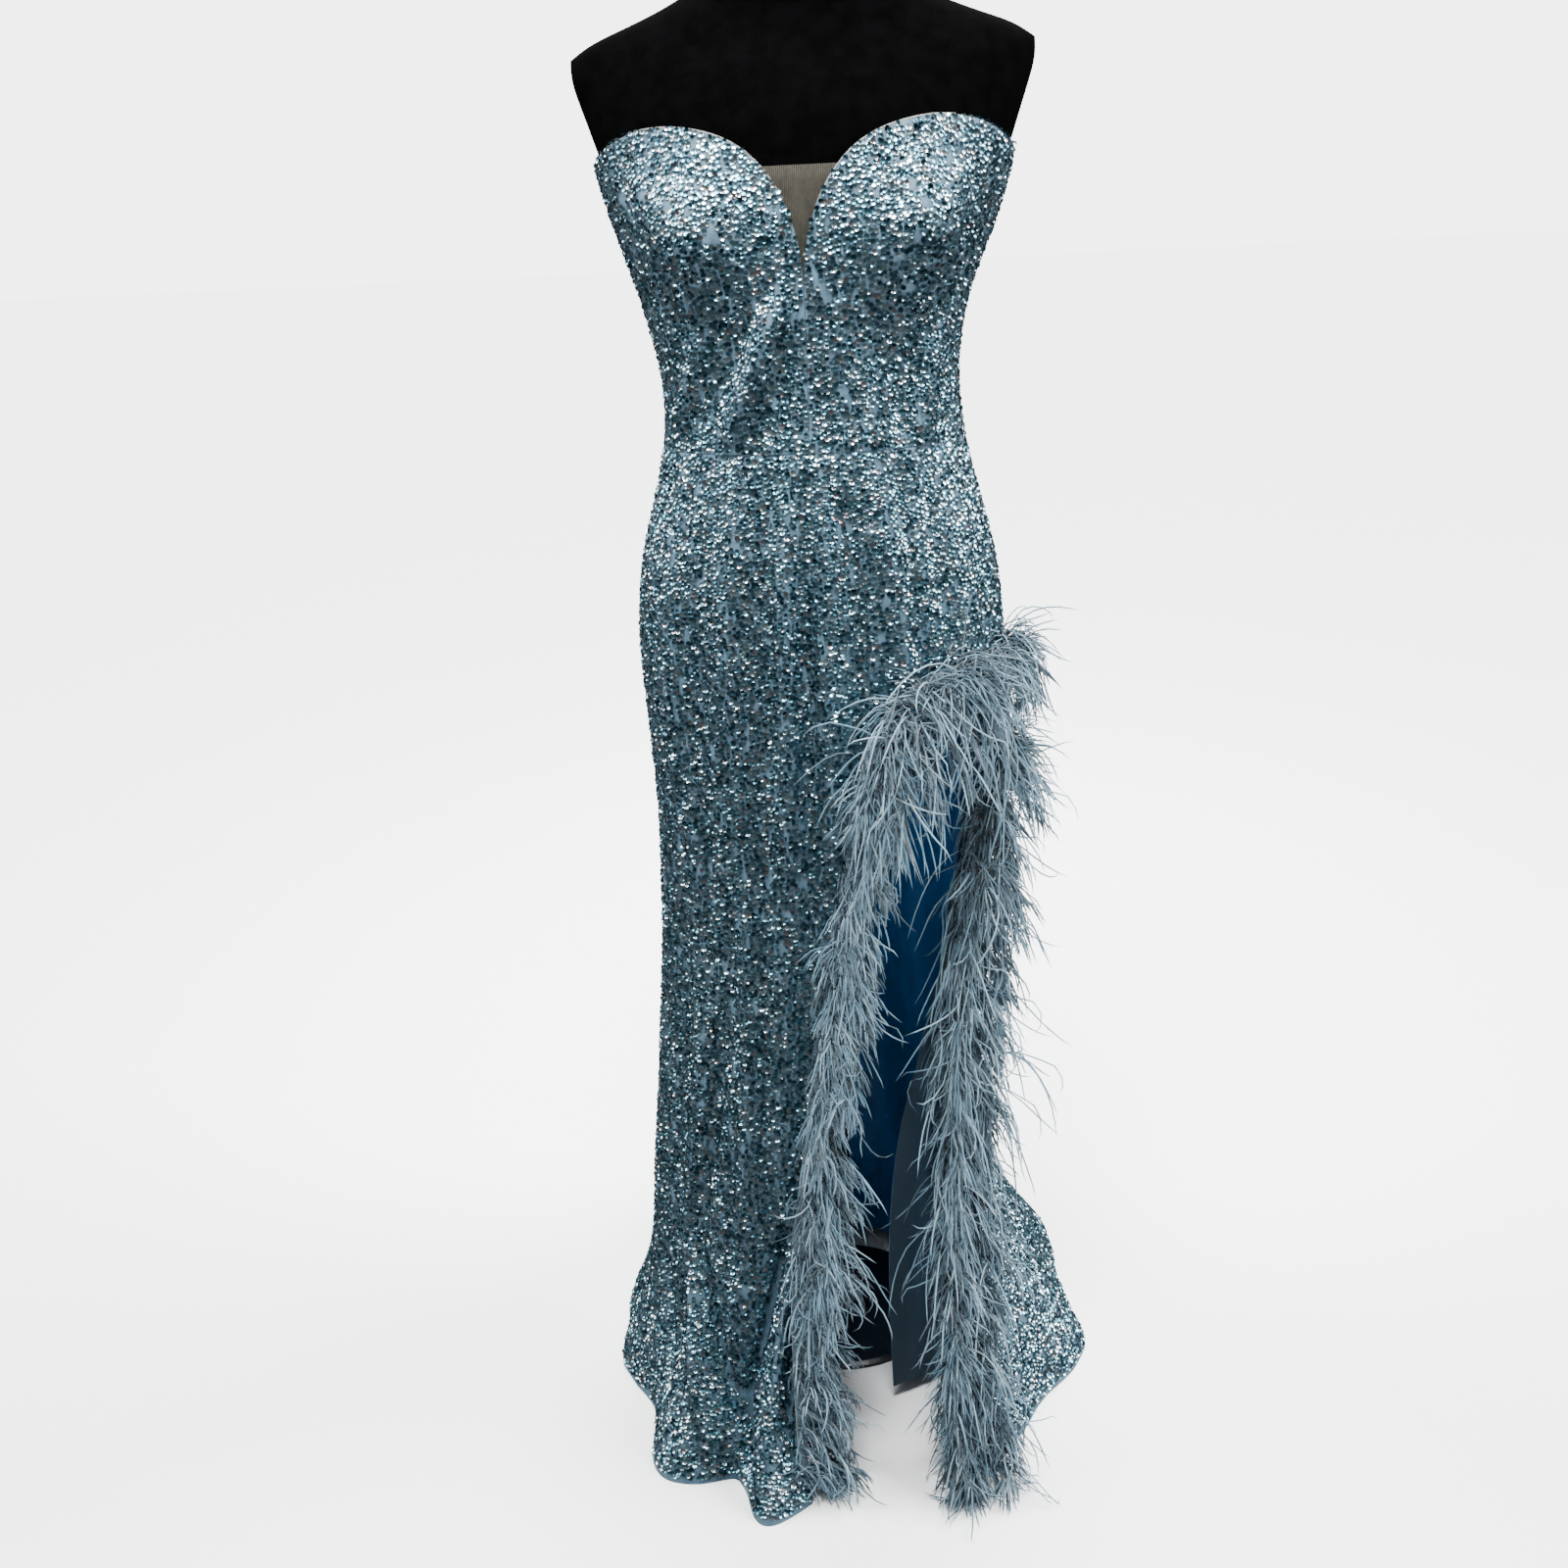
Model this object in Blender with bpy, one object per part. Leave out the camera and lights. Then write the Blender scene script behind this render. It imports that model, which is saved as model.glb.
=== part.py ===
"""Strapless sequin prom dress with a feather-trimmed slit and a small train, on a black dress form.

Metres, +Z up. The origin is on the floor under the middle of the form, the front of the dress faces
-Y, and +X is the wearer's left. Every cloth piece lies on one surface, given by an angle round the
body (0 at the centre front, 90 at +X, 180 at the centre back) and a height above the floor.
"""

import math
import random
from collections import namedtuple

import bmesh
import bpy
from mathutils import Matrix, Vector

CLOTH = 0.0020          # thickness of the sequin cloth with its net base
LINING = 0.0012
MESH = 0.0010
SEAM_GAP = 0.0003
WAIST = 1.006           # height of the waist seam
SIDE_WHOLE = -92.0      # angle of the side seam on the wearer's right, which stays whole
SIDE_SLIT = 84.0        # angle of the side seam on the wearer's left, over the slit
SLIT_TOP = 0.815        # height where the side seam opens into the slit

# The outer face: how far it reaches towards the wearer's right and left, the front and the back
Ring = namedtuple("Ring", "height right left front back")
DRESS_RINGS = [
    Ring(0.000, 0.254, 0.264, 0.264, 0.400),
    Ring(0.047, 0.235, 0.240, 0.240, 0.335),
    Ring(0.100, 0.217, 0.208, 0.218, 0.285),
    Ring(0.153, 0.209, 0.182, 0.200, 0.248),
    Ring(0.205, 0.203, 0.166, 0.185, 0.222),
    Ring(0.305, 0.193, 0.153, 0.163, 0.188),
    Ring(0.402, 0.183, 0.151, 0.148, 0.167),
    Ring(0.495, 0.175, 0.154, 0.136, 0.152),
    Ring(0.584, 0.170, 0.160, 0.128, 0.142),
    Ring(0.713, 0.173, 0.170, 0.122, 0.136),
    Ring(0.834, 0.177, 0.178, 0.119, 0.133),
    Ring(0.911, 0.168, 0.166, 0.115, 0.118),
    Ring(0.984, 0.144, 0.145, 0.106, 0.097),
    Ring(1.056, 0.137, 0.134, 0.100, 0.085),
    Ring(1.126, 0.150, 0.142, 0.103, 0.088),
    Ring(1.194, 0.171, 0.168, 0.106, 0.096),
    Ring(1.244, 0.185, 0.183, 0.103, 0.096),
    Ring(1.290, 0.190, 0.188, 0.097, 0.092),
]

# The form above the bodice, up to its capped neck
SHOULDER_RINGS = [
    Ring(1.236, 0.1755, 0.1755, 0.0970, 0.0900),
    Ring(1.270, 0.1860, 0.1860, 0.0930, 0.0880),
    Ring(1.300, 0.1960, 0.1960, 0.0800, 0.0830),
    Ring(1.322, 0.2030, 0.2030, 0.0680, 0.0760),
    Ring(1.338, 0.2020, 0.2020, 0.0580, 0.0680),
    Ring(1.350, 0.1840, 0.1840, 0.0530, 0.0620),
    Ring(1.362, 0.1480, 0.1480, 0.0510, 0.0580),
    Ring(1.376, 0.1120, 0.1120, 0.0500, 0.0550),
    Ring(1.394, 0.0780, 0.0780, 0.0500, 0.0530),
    Ring(1.416, 0.0600, 0.0600, 0.0520, 0.0540),
    Ring(1.456, 0.0570, 0.0570, 0.0540, 0.0560),
    Ring(1.464, 0.0520, 0.0520, 0.0490, 0.0510),
]

# Heights of the form's lower rings, which follow the inside of the dress
FORM_FOOT = 0.775
FORM_HEIGHTS = [
    FORM_FOOT, 0.785, 0.815, 0.845, 0.875, 0.905, 0.935, 0.965,
    1.000, 1.030, 1.056, 1.085, 1.115, 1.145, 1.175, 1.205,
]
FORM_TAPER = 0.010        # how far the form draws in below the hip
FORM_TAPER_TOP = 0.840
FORM_CLEAR_LOW = 0.0042  # from the outer face of the dress, where it sits tight
FORM_CLEAR_TOP = 0.0075   # under the cups and the mesh insert

FORM_CUP_FOOT = 1.10      # where the form starts to draw in towards that greater clearance
FORM_CUP_BLEND = 0.05
FORM_SIDES = 40

CUP_SPLAY = 0.6           # how far the cups point apart
Cup = namedtuple("Cup", "angle height out spread rise")
CUPS = [
    Cup(-36.0, 1.188, 0.026, 17.0, 0.042),
    Cup(36.0, 1.188, 0.026, 17.0, 0.042),
]

# Hem folds: ridges and troughs that grow from `top` down to the floor
FOLD_GROWTH = 1.7
Fold = namedtuple("Fold", "angle out spread top")
FOLDS = [
    Fold(-168.0, 0.016, 6.0, 0.56),
    Fold(-152.0, -0.016, 6.0, 0.50),
    Fold(-134.0, 0.024, 8.0, 0.52),
    Fold(-114.0, -0.012, 6.0, 0.44),
    Fold(-99.0, 0.008, 5.0, 0.38),
    Fold(-74.0, 0.006, 6.0, 0.42),
    Fold(-57.0, -0.010, 6.0, 0.34),
    Fold(-37.0, 0.044, 11.0, 0.30),
    Fold(-24.0, -0.014, 4.5, 0.26),
    Fold(-14.0, 0.052, 6.5, 0.25),
    Fold(58.0, -0.014, 9.0, 0.30),
    Fold(80.0, 0.016, 8.0, 0.34),
    Fold(99.0, -0.008, 6.0, 0.40),
    Fold(117.0, 0.018, 7.0, 0.46),
    Fold(135.0, -0.016, 6.0, 0.50),
    Fold(153.0, 0.022, 7.0, 0.54),
    Fold(171.0, -0.010, 6.0, 0.56),
]

Neck = namedtuple("Neck", "angle height")
NECKLINE = [
    Neck(0.0, 1.156),
    Neck(1.5, 1.186),
    Neck(4.0, 1.210),
    Neck(7.5, 1.230),
    Neck(12.0, 1.248),
    Neck(18.0, 1.261),
    Neck(26.0, 1.270),
    Neck(37.0, 1.275),
    Neck(50.0, 1.273),
    Neck(62.0, 1.266),
    Neck(76.0, 1.256),
    Neck(95.0, 1.248),
    Neck(130.0, 1.238),
    Neck(180.0, 1.232),
]
NORMAL_TURN = 0.4         # steps over which the cloth's slope is taken
NORMAL_RISE = 0.003

MESH_TOP = 1.241          # straight top edge of the mesh insert
MESH_FOOT = 1.146
MESH_REACH = 13.0         # half its width, as an angle
MESH_BEHIND = 0.0014      # how far it hangs behind the bodice cloth

Seam = namedtuple("Seam", "height angle")
PRINCESS_SEAM = [
    Seam(1.000, 46.0),
    Seam(1.050, 43.0),
    Seam(1.100, 42.0),
    Seam(1.160, 44.0),
    Seam(1.210, 47.0),
    Seam(1.280, 51.0),
]

# The two edges of the slit, each row at one share of the way down its panel
Edge = namedtuple("Edge", "down angle height")
SLIT_FRONT = [
    Edge(0.000, SIDE_SLIT, WAIST),
    Edge(0.040, SIDE_SLIT, 0.966),
    Edge(0.085, SIDE_SLIT, 0.920),
    Edge(0.135, SIDE_SLIT, 0.870),
    Edge(0.190, SIDE_SLIT, SLIT_TOP),
    Edge(0.235, 62.0, 0.801),
    Edge(0.290, 38.0, 0.792),
    Edge(0.340, 25.0, 0.770),
    Edge(0.400, 17.5, 0.730),
    Edge(0.460, 12.8, 0.674),
    Edge(0.530, 8.5, 0.607),
    Edge(0.600, 4.7, 0.548),
    Edge(0.670, 1.3, 0.467),
    Edge(0.735, -2.5, 0.404),
    Edge(0.790, -5.2, 0.344),
    Edge(0.845, -8.0, 0.275),
    Edge(0.870, -9.0, 0.242),
    Edge(0.895, -9.6, 0.208),
    Edge(0.922, -9.6, 0.160),
    Edge(0.950, -9.0, 0.108),
    Edge(0.970, -8.1, 0.065),
    Edge(0.987, -7.0, 0.028),
    Edge(1.000, -6.0, 0.000),
]
SLIT_BACK = [
    Edge(0.000, SIDE_SLIT, WAIST),
    Edge(0.040, SIDE_SLIT, 0.966),
    Edge(0.085, SIDE_SLIT, 0.920),
    Edge(0.135, SIDE_SLIT, 0.870),
    Edge(0.190, SIDE_SLIT, SLIT_TOP),
    Edge(0.240, 81.0, 0.765),
    Edge(0.300, 70.0, 0.705),
    Edge(0.370, 57.0, 0.633),
    Edge(0.460, 50.0, 0.539),
    Edge(0.560, 47.5, 0.442),
    Edge(0.665, 45.5, 0.337),
    Edge(0.720, 43.9, 0.283),
    Edge(0.770, 41.8, 0.232),
    Edge(0.810, 39.3, 0.192),
    Edge(0.850, 36.2, 0.152),
    Edge(0.890, 33.2, 0.112),
    Edge(0.930, 31.2, 0.071),
    Edge(0.967, 29.8, 0.033),
    Edge(1.000, 29.0, 0.000),
]

FRONT_COLUMNS = 28
BACK_COLUMNS = 15
BODICE_ROWS = 9
BODICE_COLUMNS = 5
# Shares across a front panel, closer together where the neckline is steep
FRONT_SHARES = [0.0, 0.03, 0.08, 0.15, 0.24, 0.34, 0.45, 0.57, 0.70, 0.84, 1.0]

LINING_TOP = 0.735
LINING_FOOT = 0.018
LINING_TO = 262.0
LINING_EDGE = [           # its front edge, which shows beside the feathers low down
    Seam(LINING_FOOT, 24.0),
    Seam(0.150, 23.0),
    Seam(0.250, 24.0),
    Seam(0.350, 31.0),
    Seam(0.430, 42.0),
    Seam(0.520, 54.0),
    Seam(0.620, 64.0),
    Seam(LINING_TOP, 80.0),
]
LINING_ROWS = 9
LINING_COLUMNS = 18
LINING_BACK = 0.150       # how far back the lining hangs at its hem
LINING_HIP = 0.122        # and how far at its top
LINING_SIDE = 0.140
LINING_OFF = 0.0006       # from the skirt's inner face, where it is sewn in
LINING_LOOSE = 0.25       # share of its fall over which it parts from the skirt
Flute = namedtuple("Flute", "out turns")
FLUTES = [
    Flute(0.006, 9.0),
    Flute(0.004, 14.0),
]

STRIP_OFF = 0.0013        # from the cloth to the backing strip
STRIP_THICK = 0.0014
STRIP_WIDTH = 0.009
STRIP_INSET = 0.0015      # from the cloth's edge to the strip
LOCK_ROOT = 0.0070
LOCK_SPACING = 0.0195     # from one pair of locks to the next
LOCK_DROOP = 0.22
LOCK_FALL = -0.55         # every lock leans down this much against its lean out and to the gap
LOCK_WOBBLE = 0.10
TIP_CLEAR = 0.006         # what the lowest feather tip keeps to the floor

# How the two locks of a pair lean out and towards the gap, down to each share of the strip
Locks = namedtuple("Locks", "down out gap out_two gap_two length")
FRONT_LOCKS = [
    Locks(0.08, 1.00, 0.10, 0.80, 0.30, 0.070),
    Locks(0.23, 1.00, 0.10, 0.80, 0.30, 0.120),
    Locks(0.61, 0.90, 0.25, 0.45, 0.75, 0.062),
    Locks(0.78, 0.75, 0.60, 0.30, 1.05, 0.082),
    Locks(1.00, 0.75, 0.60, 0.30, 1.05, 0.062),
]
BACK_LOCKS = [
    Locks(1.00, 1.00, -0.30, 0.75, 0.55, 0.074),
]

POLE_RADIUS = 0.011
STAND_BACK = 0.022        # the pole stands this far behind the origin
BASE_RADIUS = 0.108
BASE_RIM = 0.007
BASE_CROWN = 0.013
HUB_RADIUS = 0.030
HUB_TOP = 0.032
COLLAR_FOOT = 0.268
COLLAR_TOP = 0.322
COLLAR_RADIUS = 0.0165
RING_FOOT = 0.260
RING_RADIUS = 0.0140

ZIP_FOOT = 0.880
ZIP_TOP = 1.226
ZIP_TAPE_WIDTH = 0.0060
ZIP_TAPE_THICK = 0.0010
ZIP_TAPE_OFF = 0.0006     # from the cloth to the tape
SLIDER_HEIGHT = 1.212     # of the tab's hinge
SLIDER_WIDTH = 0.0070
SLIDER_LENGTH = 0.0100
SLIDER_PLATE = 0.0020
BRIDGE_WIDTH = 0.0018
BRIDGE_LENGTH = 0.0074
BRIDGE_LEG = 0.0014
BRIDGE_ROOM = 0.0020      # clear height under the bridge
BRIDGE_THICK = 0.0010
TAB_WIDTH = 0.0064
TAB_LENGTH = 0.0230
TAB_THICK = 0.0010
TAB_BAR = 0.0012          # the bar at the top of the tab, which turns under the bridge
TAB_WINDOW = 0.0050
TAB_SIDE = 0.0014


for old in list(bpy.data.objects):
    bpy.data.objects.remove(old, do_unlink=True)


def smooth(rows, at, column):
    """A column of a table at any value of its first column, on a smooth curve through the rows."""
    keys = [row[0] for row in rows]
    values = [getattr(row, column) for row in rows]
    if at <= keys[0]:
        return values[0]
    if at >= keys[-1]:
        return values[-1]
    last = len(keys) - 1
    i = max(k for k in range(last) if keys[k] <= at)

    def slope(k):
        low = max(k - 1, 0)
        high = min(k + 1, last)
        return (values[high] - values[low]) / (keys[high] - keys[low])

    span = keys[i + 1] - keys[i]
    s = (at - keys[i]) / span
    start = values[i] * (1 + 2 * s) * (1 - s) ** 2 + slope(i) * span * s * (1 - s) ** 2
    end = values[i + 1] * s * s * (3 - 2 * s) - slope(i + 1) * span * s * s * (1 - s)
    return start + end


def wrapped(angle):
    """The same angle between -180 and 180."""
    return (angle + 180.0) % 360.0 - 180.0


def ring_point(angle, ring, height):
    """A point of a ring that has its own reach to the right, left, front and back."""
    turn = math.radians(angle)
    width = ring.left if math.sin(turn) > 0 else ring.right
    depth = ring.front if math.cos(turn) > 0 else ring.back
    return Vector((width * math.sin(turn), -depth * math.cos(turn), height))


def surface(angle, height):
    """The outer face of the dress at an angle and a height."""
    ring = Ring(height, *(smooth(DRESS_RINGS, height, column) for column in Ring._fields[1:]))
    point = ring_point(angle, ring, height)
    turn = math.radians(angle)
    outward = Vector((math.sin(turn), -math.cos(turn), 0.0))
    for fold in FOLDS:
        if height < fold.top:
            away = wrapped(angle - fold.angle) / fold.spread
            grown = (1.0 - height / fold.top) ** FOLD_GROWTH
            point += outward * fold.out * grown * math.exp(-away * away)
    for cup in CUPS:
        away = wrapped(angle - cup.angle) / cup.spread
        up = (height - cup.height) / cup.rise
        forward = Vector((math.sin(math.radians(cup.angle)) * CUP_SPLAY, -1.0, 0.0))
        point += forward * cup.out * math.exp(-away * away - up * up)
    return point


def surface_normal(angle, height):
    """The direction out of the cloth."""
    low = max(height - NORMAL_RISE, 0.0)
    across = surface(angle + NORMAL_TURN, height) - surface(angle - NORMAL_TURN, height)
    along = surface(angle, height + NORMAL_RISE) - surface(angle, low)
    return across.cross(along).normalized()


def cloth_point(angle, height, out):
    """A point moved out of the cloth's face; on the floor it moves level, so that the hem stays flat."""
    point = surface(angle, height)
    normal = surface_normal(angle, height)
    if height < 1e-6:
        level = Vector((normal.x, normal.y, 0.0))
        step = level.normalized() * out / max(level.length, 0.5)
        return point + step
    return point + normal * out


def seam_angle(height, clear=SEAM_GAP):
    """Half a seam's gap, as an angle."""
    return math.degrees(clear / 2 / smooth(DRESS_RINGS, height, "back"))


def material(name, colour, roughness, metallic=0.0):
    """A plain finish for one piece."""
    finish = bpy.data.materials.new(name)
    finish.use_nodes = True
    shader = finish.node_tree.nodes["Principled BSDF"]
    shader.inputs["Base Color"].default_value = (*colour, 1.0)
    shader.inputs["Roughness"].default_value = roughness
    shader.inputs["Metallic"].default_value = metallic
    return finish


def add_object(name, mesh, finish, smooth_angle=50.0):
    """Puts a bmesh into the scene as one named piece with its own finish."""
    bmesh.ops.recalc_face_normals(mesh, faces=mesh.faces)
    data = bpy.data.meshes.new(name)
    mesh.to_mesh(data)
    mesh.free()
    data.shade_smooth()
    data.set_sharp_from_angle(angle=math.radians(smooth_angle))
    piece = bpy.data.objects.new(name, data)
    bpy.context.scene.collection.objects.link(piece)
    data.materials.append(finish)
    return piece


def wall_mesh(outer, inner):
    """A closed wall between two grids of points with the same rows and columns."""
    mesh = bmesh.new()
    rows = len(outer)
    columns = len(outer[0])
    out = [[mesh.verts.new(p) for p in row] for row in outer]
    back = [[mesh.verts.new(p) for p in row] for row in inner]
    for j in range(rows - 1):
        for i in range(columns - 1):
            mesh.faces.new((out[j][i], out[j][i + 1], out[j + 1][i + 1], out[j + 1][i]))
            mesh.faces.new((back[j][i], back[j + 1][i], back[j + 1][i + 1], back[j][i + 1]))
    for i in range(columns - 1):
        for j in (0, rows - 1):
            mesh.faces.new((out[j][i], out[j][i + 1], back[j][i + 1], back[j][i]))
    for j in range(rows - 1):
        for i in (0, columns - 1):
            mesh.faces.new((out[j][i], out[j + 1][i], back[j + 1][i], back[j][i]))
    return mesh


def cloth_wall(name, places, finish, out=0.0, thickness=CLOTH):
    """A cloth piece over a grid of (angle, height) places, its outer face `out` from the surface."""
    outer = [[cloth_point(angle, height, out) for angle, height in row] for row in places]
    inner = [[cloth_point(angle, height, out - thickness) for angle, height in row] for row in places]
    return add_object(name, wall_mesh(outer, inner), finish)


def shares(count):
    """Even shares from 0 to 1."""
    return [i / count for i in range(count + 1)]


def ruled_places(first, last, across):
    """Rows of places between two edges, each edge a list of (angle, height)."""
    return [
        [(a[0] + (b[0] - a[0]) * u, a[1] + (b[1] - a[1]) * u) for u in across]
        for a, b in zip(first, last)
    ]


def neckline_height(angle):
    """The bodice's top edge."""
    return smooth(NECKLINE, abs(wrapped(angle)), "height")


def bodice_places(first_seam, last_seam, across):
    """Places of a bodice panel between two seams, from the waist seam to the neckline."""
    foot = WAIST + SEAM_GAP / 2
    columns = []
    for u in across:
        column = []
        for v in shares(BODICE_ROWS):
            height = foot
            for _ in range(6):
                clear = seam_angle(height)
                first = first_seam(height) + clear
                last = last_seam(height) - clear
                angle = first + (last - first) * u
                height = foot + (neckline_height(angle) - foot) * v
            column.append((angle, height))
        columns.append(column)
    return [list(row) for row in zip(*columns)]


def princess(side):
    """The princess seam of one side: 1 for the wearer's left, -1 for the right."""
    return lambda height: side * smooth(PRINCESS_SEAM, height, "angle")


def straight(angle):
    """A seam that stays at one angle."""
    return lambda height: angle


def turned(name, profile, finish, sides, centre):
    """A round piece turned about an upright axis from (radius, height) points.

    It closes at the axis where the profile starts there, or else as a ring.
    """
    mesh = bmesh.new()
    solid = profile[0][0] == 0.0
    loops = []
    for radius, height in profile:
        if radius == 0.0:
            loops.append([mesh.verts.new((centre[0], centre[1], height))])
            continue
        loop = []
        for k in range(sides):
            turn = 2 * math.pi * k / sides
            x = centre[0] + radius * math.cos(turn)
            y = centre[1] + radius * math.sin(turn)
            loop.append(mesh.verts.new((x, y, height)))
        loops.append(loop)
    pairs = list(zip(loops, loops[1:])) if solid else list(zip(loops, loops[1:] + loops[:1]))
    for low, high in pairs:
        for k in range(sides):
            n = (k + 1) % sides
            corners = [low[k % len(low)], low[n % len(low)], high[n % len(high)], high[k % len(high)]]
            kept = [v for i, v in enumerate(corners) if v not in corners[:i]]
            mesh.faces.new(kept)
    return add_object(name, mesh, finish, 35.0)


SEQUIN_BLUE = (0.33, 0.58, 0.66)
FEATHER_BLUE = (0.50, 0.66, 0.74)
BLACK_VELVET = (0.012, 0.012, 0.014)


def build_form():
    """The black form: it follows the inside of the dress, then rises to shoulders and a capped neck."""
    angles = [360.0 * u for u in shares(FORM_SIDES)[:-1]]
    mesh = bmesh.new()
    loops = []
    for height in FORM_HEIGHTS:
        blend = min(max((height - FORM_CUP_FOOT) / FORM_CUP_BLEND, 0.0), 1.0)
        clear = FORM_CLEAR_LOW + (FORM_CLEAR_TOP - FORM_CLEAR_LOW) * blend
        clear += FORM_TAPER * max(FORM_TAPER_TOP - height, 0.0) / (FORM_TAPER_TOP - FORM_FOOT)
        loops.append([mesh.verts.new(cloth_point(angle, height, -clear)) for angle in angles])
        for vert in loops[-1]:
            vert.co.z = height
    for ring in SHOULDER_RINGS:
        loops.append([mesh.verts.new(ring_point(angle, ring, ring.height)) for angle in angles])
    for low, high in zip(loops, loops[1:]):
        for k in range(FORM_SIDES):
            n = (k + 1) % FORM_SIDES
            mesh.faces.new((low[k], low[n], high[n], high[k]))
    mesh.faces.new(loops[0])
    mesh.faces.new(loops[-1])
    add_object("form_torso", mesh, material("black_velvet", BLACK_VELVET, 0.9))


def build_stand():
    """Round base on the floor, pole up into the form, and the collar that sets the height."""
    centre = (0.0, STAND_BACK)
    steel = material("silver_ring_metal", (0.62, 0.62, 0.64), 0.3, 1.0)
    turned(
        "stand_base",
        [
            (0.0, 0.0),
            (BASE_RADIUS, 0.0),
            (BASE_RADIUS, BASE_RIM * 0.6),
            (BASE_RADIUS - 0.004, BASE_RIM),
            (HUB_RADIUS + 0.002, BASE_CROWN),
            (HUB_RADIUS, BASE_CROWN + 0.006),
            (HUB_RADIUS * 0.85, HUB_TOP - 0.005),
            (HUB_RADIUS * 0.55, HUB_TOP),
            (0.0, HUB_TOP),
        ],
        material("base_black", (0.015, 0.017, 0.022), 0.35),
        48,
        centre,
    )
    foot = HUB_TOP + SEAM_GAP
    top = FORM_FOOT - SEAM_GAP
    turned(
        "stand_pole",
        [(0.0, foot), (POLE_RADIUS, foot), (POLE_RADIUS, top), (0.0, top)],
        material("pole_black", (0.02, 0.02, 0.022), 0.4),
        20,
        centre,
    )
    bore = POLE_RADIUS + SEAM_GAP
    bevel = 0.003
    turned(
        "stand_collar",
        [
            (bore, COLLAR_FOOT),
            (COLLAR_RADIUS - bevel, COLLAR_FOOT),
            (COLLAR_RADIUS, COLLAR_FOOT + bevel),
            (COLLAR_RADIUS, COLLAR_TOP - 2 * bevel),
            (COLLAR_RADIUS - bevel, COLLAR_TOP),
            (bore, COLLAR_TOP),
        ],
        material("collar_black", (0.02, 0.02, 0.022), 0.3),
        20,
        centre,
    )
    turned(
        "stand_ring",
        [
            (bore, RING_FOOT),
            (RING_RADIUS, RING_FOOT),
            (RING_RADIUS, COLLAR_FOOT - SEAM_GAP),
            (bore, COLLAR_FOOT - SEAM_GAP),
        ],
        steel,
        20,
        centre,
    )


def build_bodice():
    """Six panels with cups, cut at the centre front, princess seams, side seams and centre back."""
    cloth = "bodice_sequin_cloth"
    panels = [
        ("bodice_front_right", princess(-1), straight(0.0), [1.0 - u for u in reversed(FRONT_SHARES)]),
        ("bodice_front_left", straight(0.0), princess(1), FRONT_SHARES),
        ("bodice_side_right", straight(SIDE_WHOLE), princess(-1), shares(BODICE_COLUMNS)),
        ("bodice_side_left", princess(1), straight(SIDE_SLIT), shares(BODICE_COLUMNS)),
        ("bodice_back_right", straight(-180.0), straight(SIDE_WHOLE), shares(2 * BODICE_COLUMNS)),
        ("bodice_back_left", straight(SIDE_SLIT), straight(180.0), shares(2 * BODICE_COLUMNS)),
    ]
    for name, first_seam, last_seam, across in panels:
        finish = material(f"{name}_{cloth}", SEQUIN_BLUE, 0.35, 0.3)
        cloth_wall(name, bodice_places(first_seam, last_seam, across), finish)


def build_mesh_insert():
    """The ribbed mesh behind the V, with a straight top edge between the cups."""
    angles = [-MESH_REACH + 2 * MESH_REACH * u for u in shares(8)]
    heights = [MESH_FOOT + (MESH_TOP - MESH_FOOT) * v for v in shares(6)]
    places = [[(angle, height) for angle in angles] for height in heights]
    finish = material("taupe_mesh", (0.24, 0.22, 0.21), 0.8)
    cloth_wall("neckline_mesh_insert", places, finish, -(CLOTH + MESH_BEHIND), MESH)


def slit_edge(rows, clear_side):
    """An edge of the slit as places; above the slit it keeps half a seam's gap on its own side."""
    places = []
    for row in rows:
        height = row.height - (SEAM_GAP / 2 if row.down == 0.0 else 0.0)
        places.append((row.angle + clear_side * seam_angle(height), height))
    return places


def side_edge(rows, angle, clear_side):
    """A straight seam with a place for each row of the panel's other edge."""
    places = []
    for down in rows:
        height = WAIST * (1.0 - down) - (SEAM_GAP / 2 if down == 0.0 else 0.0)
        places.append((angle + clear_side * seam_angle(height), height))
    return places


def build_skirt():
    """The front panel with the slit's front edge, and two back panels with the train."""
    front_rows = [row.down for row in SLIT_FRONT]
    cloth_wall(
        "skirt_front",
        ruled_places(side_edge(front_rows, SIDE_WHOLE, 1), slit_edge(SLIT_FRONT, -1), shares(FRONT_COLUMNS)),
        material("skirt_front_sequin_cloth", SEQUIN_BLUE, 0.35, 0.3),
    )
    back_rows = [row.down for row in SLIT_BACK]
    cloth_wall(
        "skirt_back_left",
        ruled_places(slit_edge(SLIT_BACK, 1), side_edge(back_rows, 180.0, -1), shares(BACK_COLUMNS + 3)),
        material("skirt_back_left_sequin_cloth", SEQUIN_BLUE, 0.35, 0.3),
    )
    cloth_wall(
        "skirt_back_right",
        ruled_places(
            side_edge(back_rows, -180.0, 1), side_edge(back_rows, SIDE_WHOLE, -1), shares(BACK_COLUMNS)
        ),
        material("skirt_back_right_sequin_cloth", SEQUIN_BLUE, 0.35, 0.3),
    )


def lining_point(angle, height, out):
    """The lining leaves the skirt at its top and hangs almost straight down in soft flutes."""
    along_cloth = cloth_point(angle, height, -(CLOTH + LINING_OFF) + out)
    turn = math.radians(angle)
    fall = (LINING_TOP - height) / LINING_TOP
    flutes = sum(flute.out * fall * math.sin(turn * flute.turns) for flute in FLUTES)
    reach = LINING_HIP + (LINING_BACK - LINING_HIP) * fall + flutes + out
    side = LINING_SIDE + flutes + out
    hanging = Vector((side * math.sin(turn), -reach * math.cos(turn), height))
    loose = min(fall / LINING_LOOSE, 1.0)
    loose = loose * loose * (3 - 2 * loose)
    return along_cloth.lerp(hanging, loose)


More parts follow.
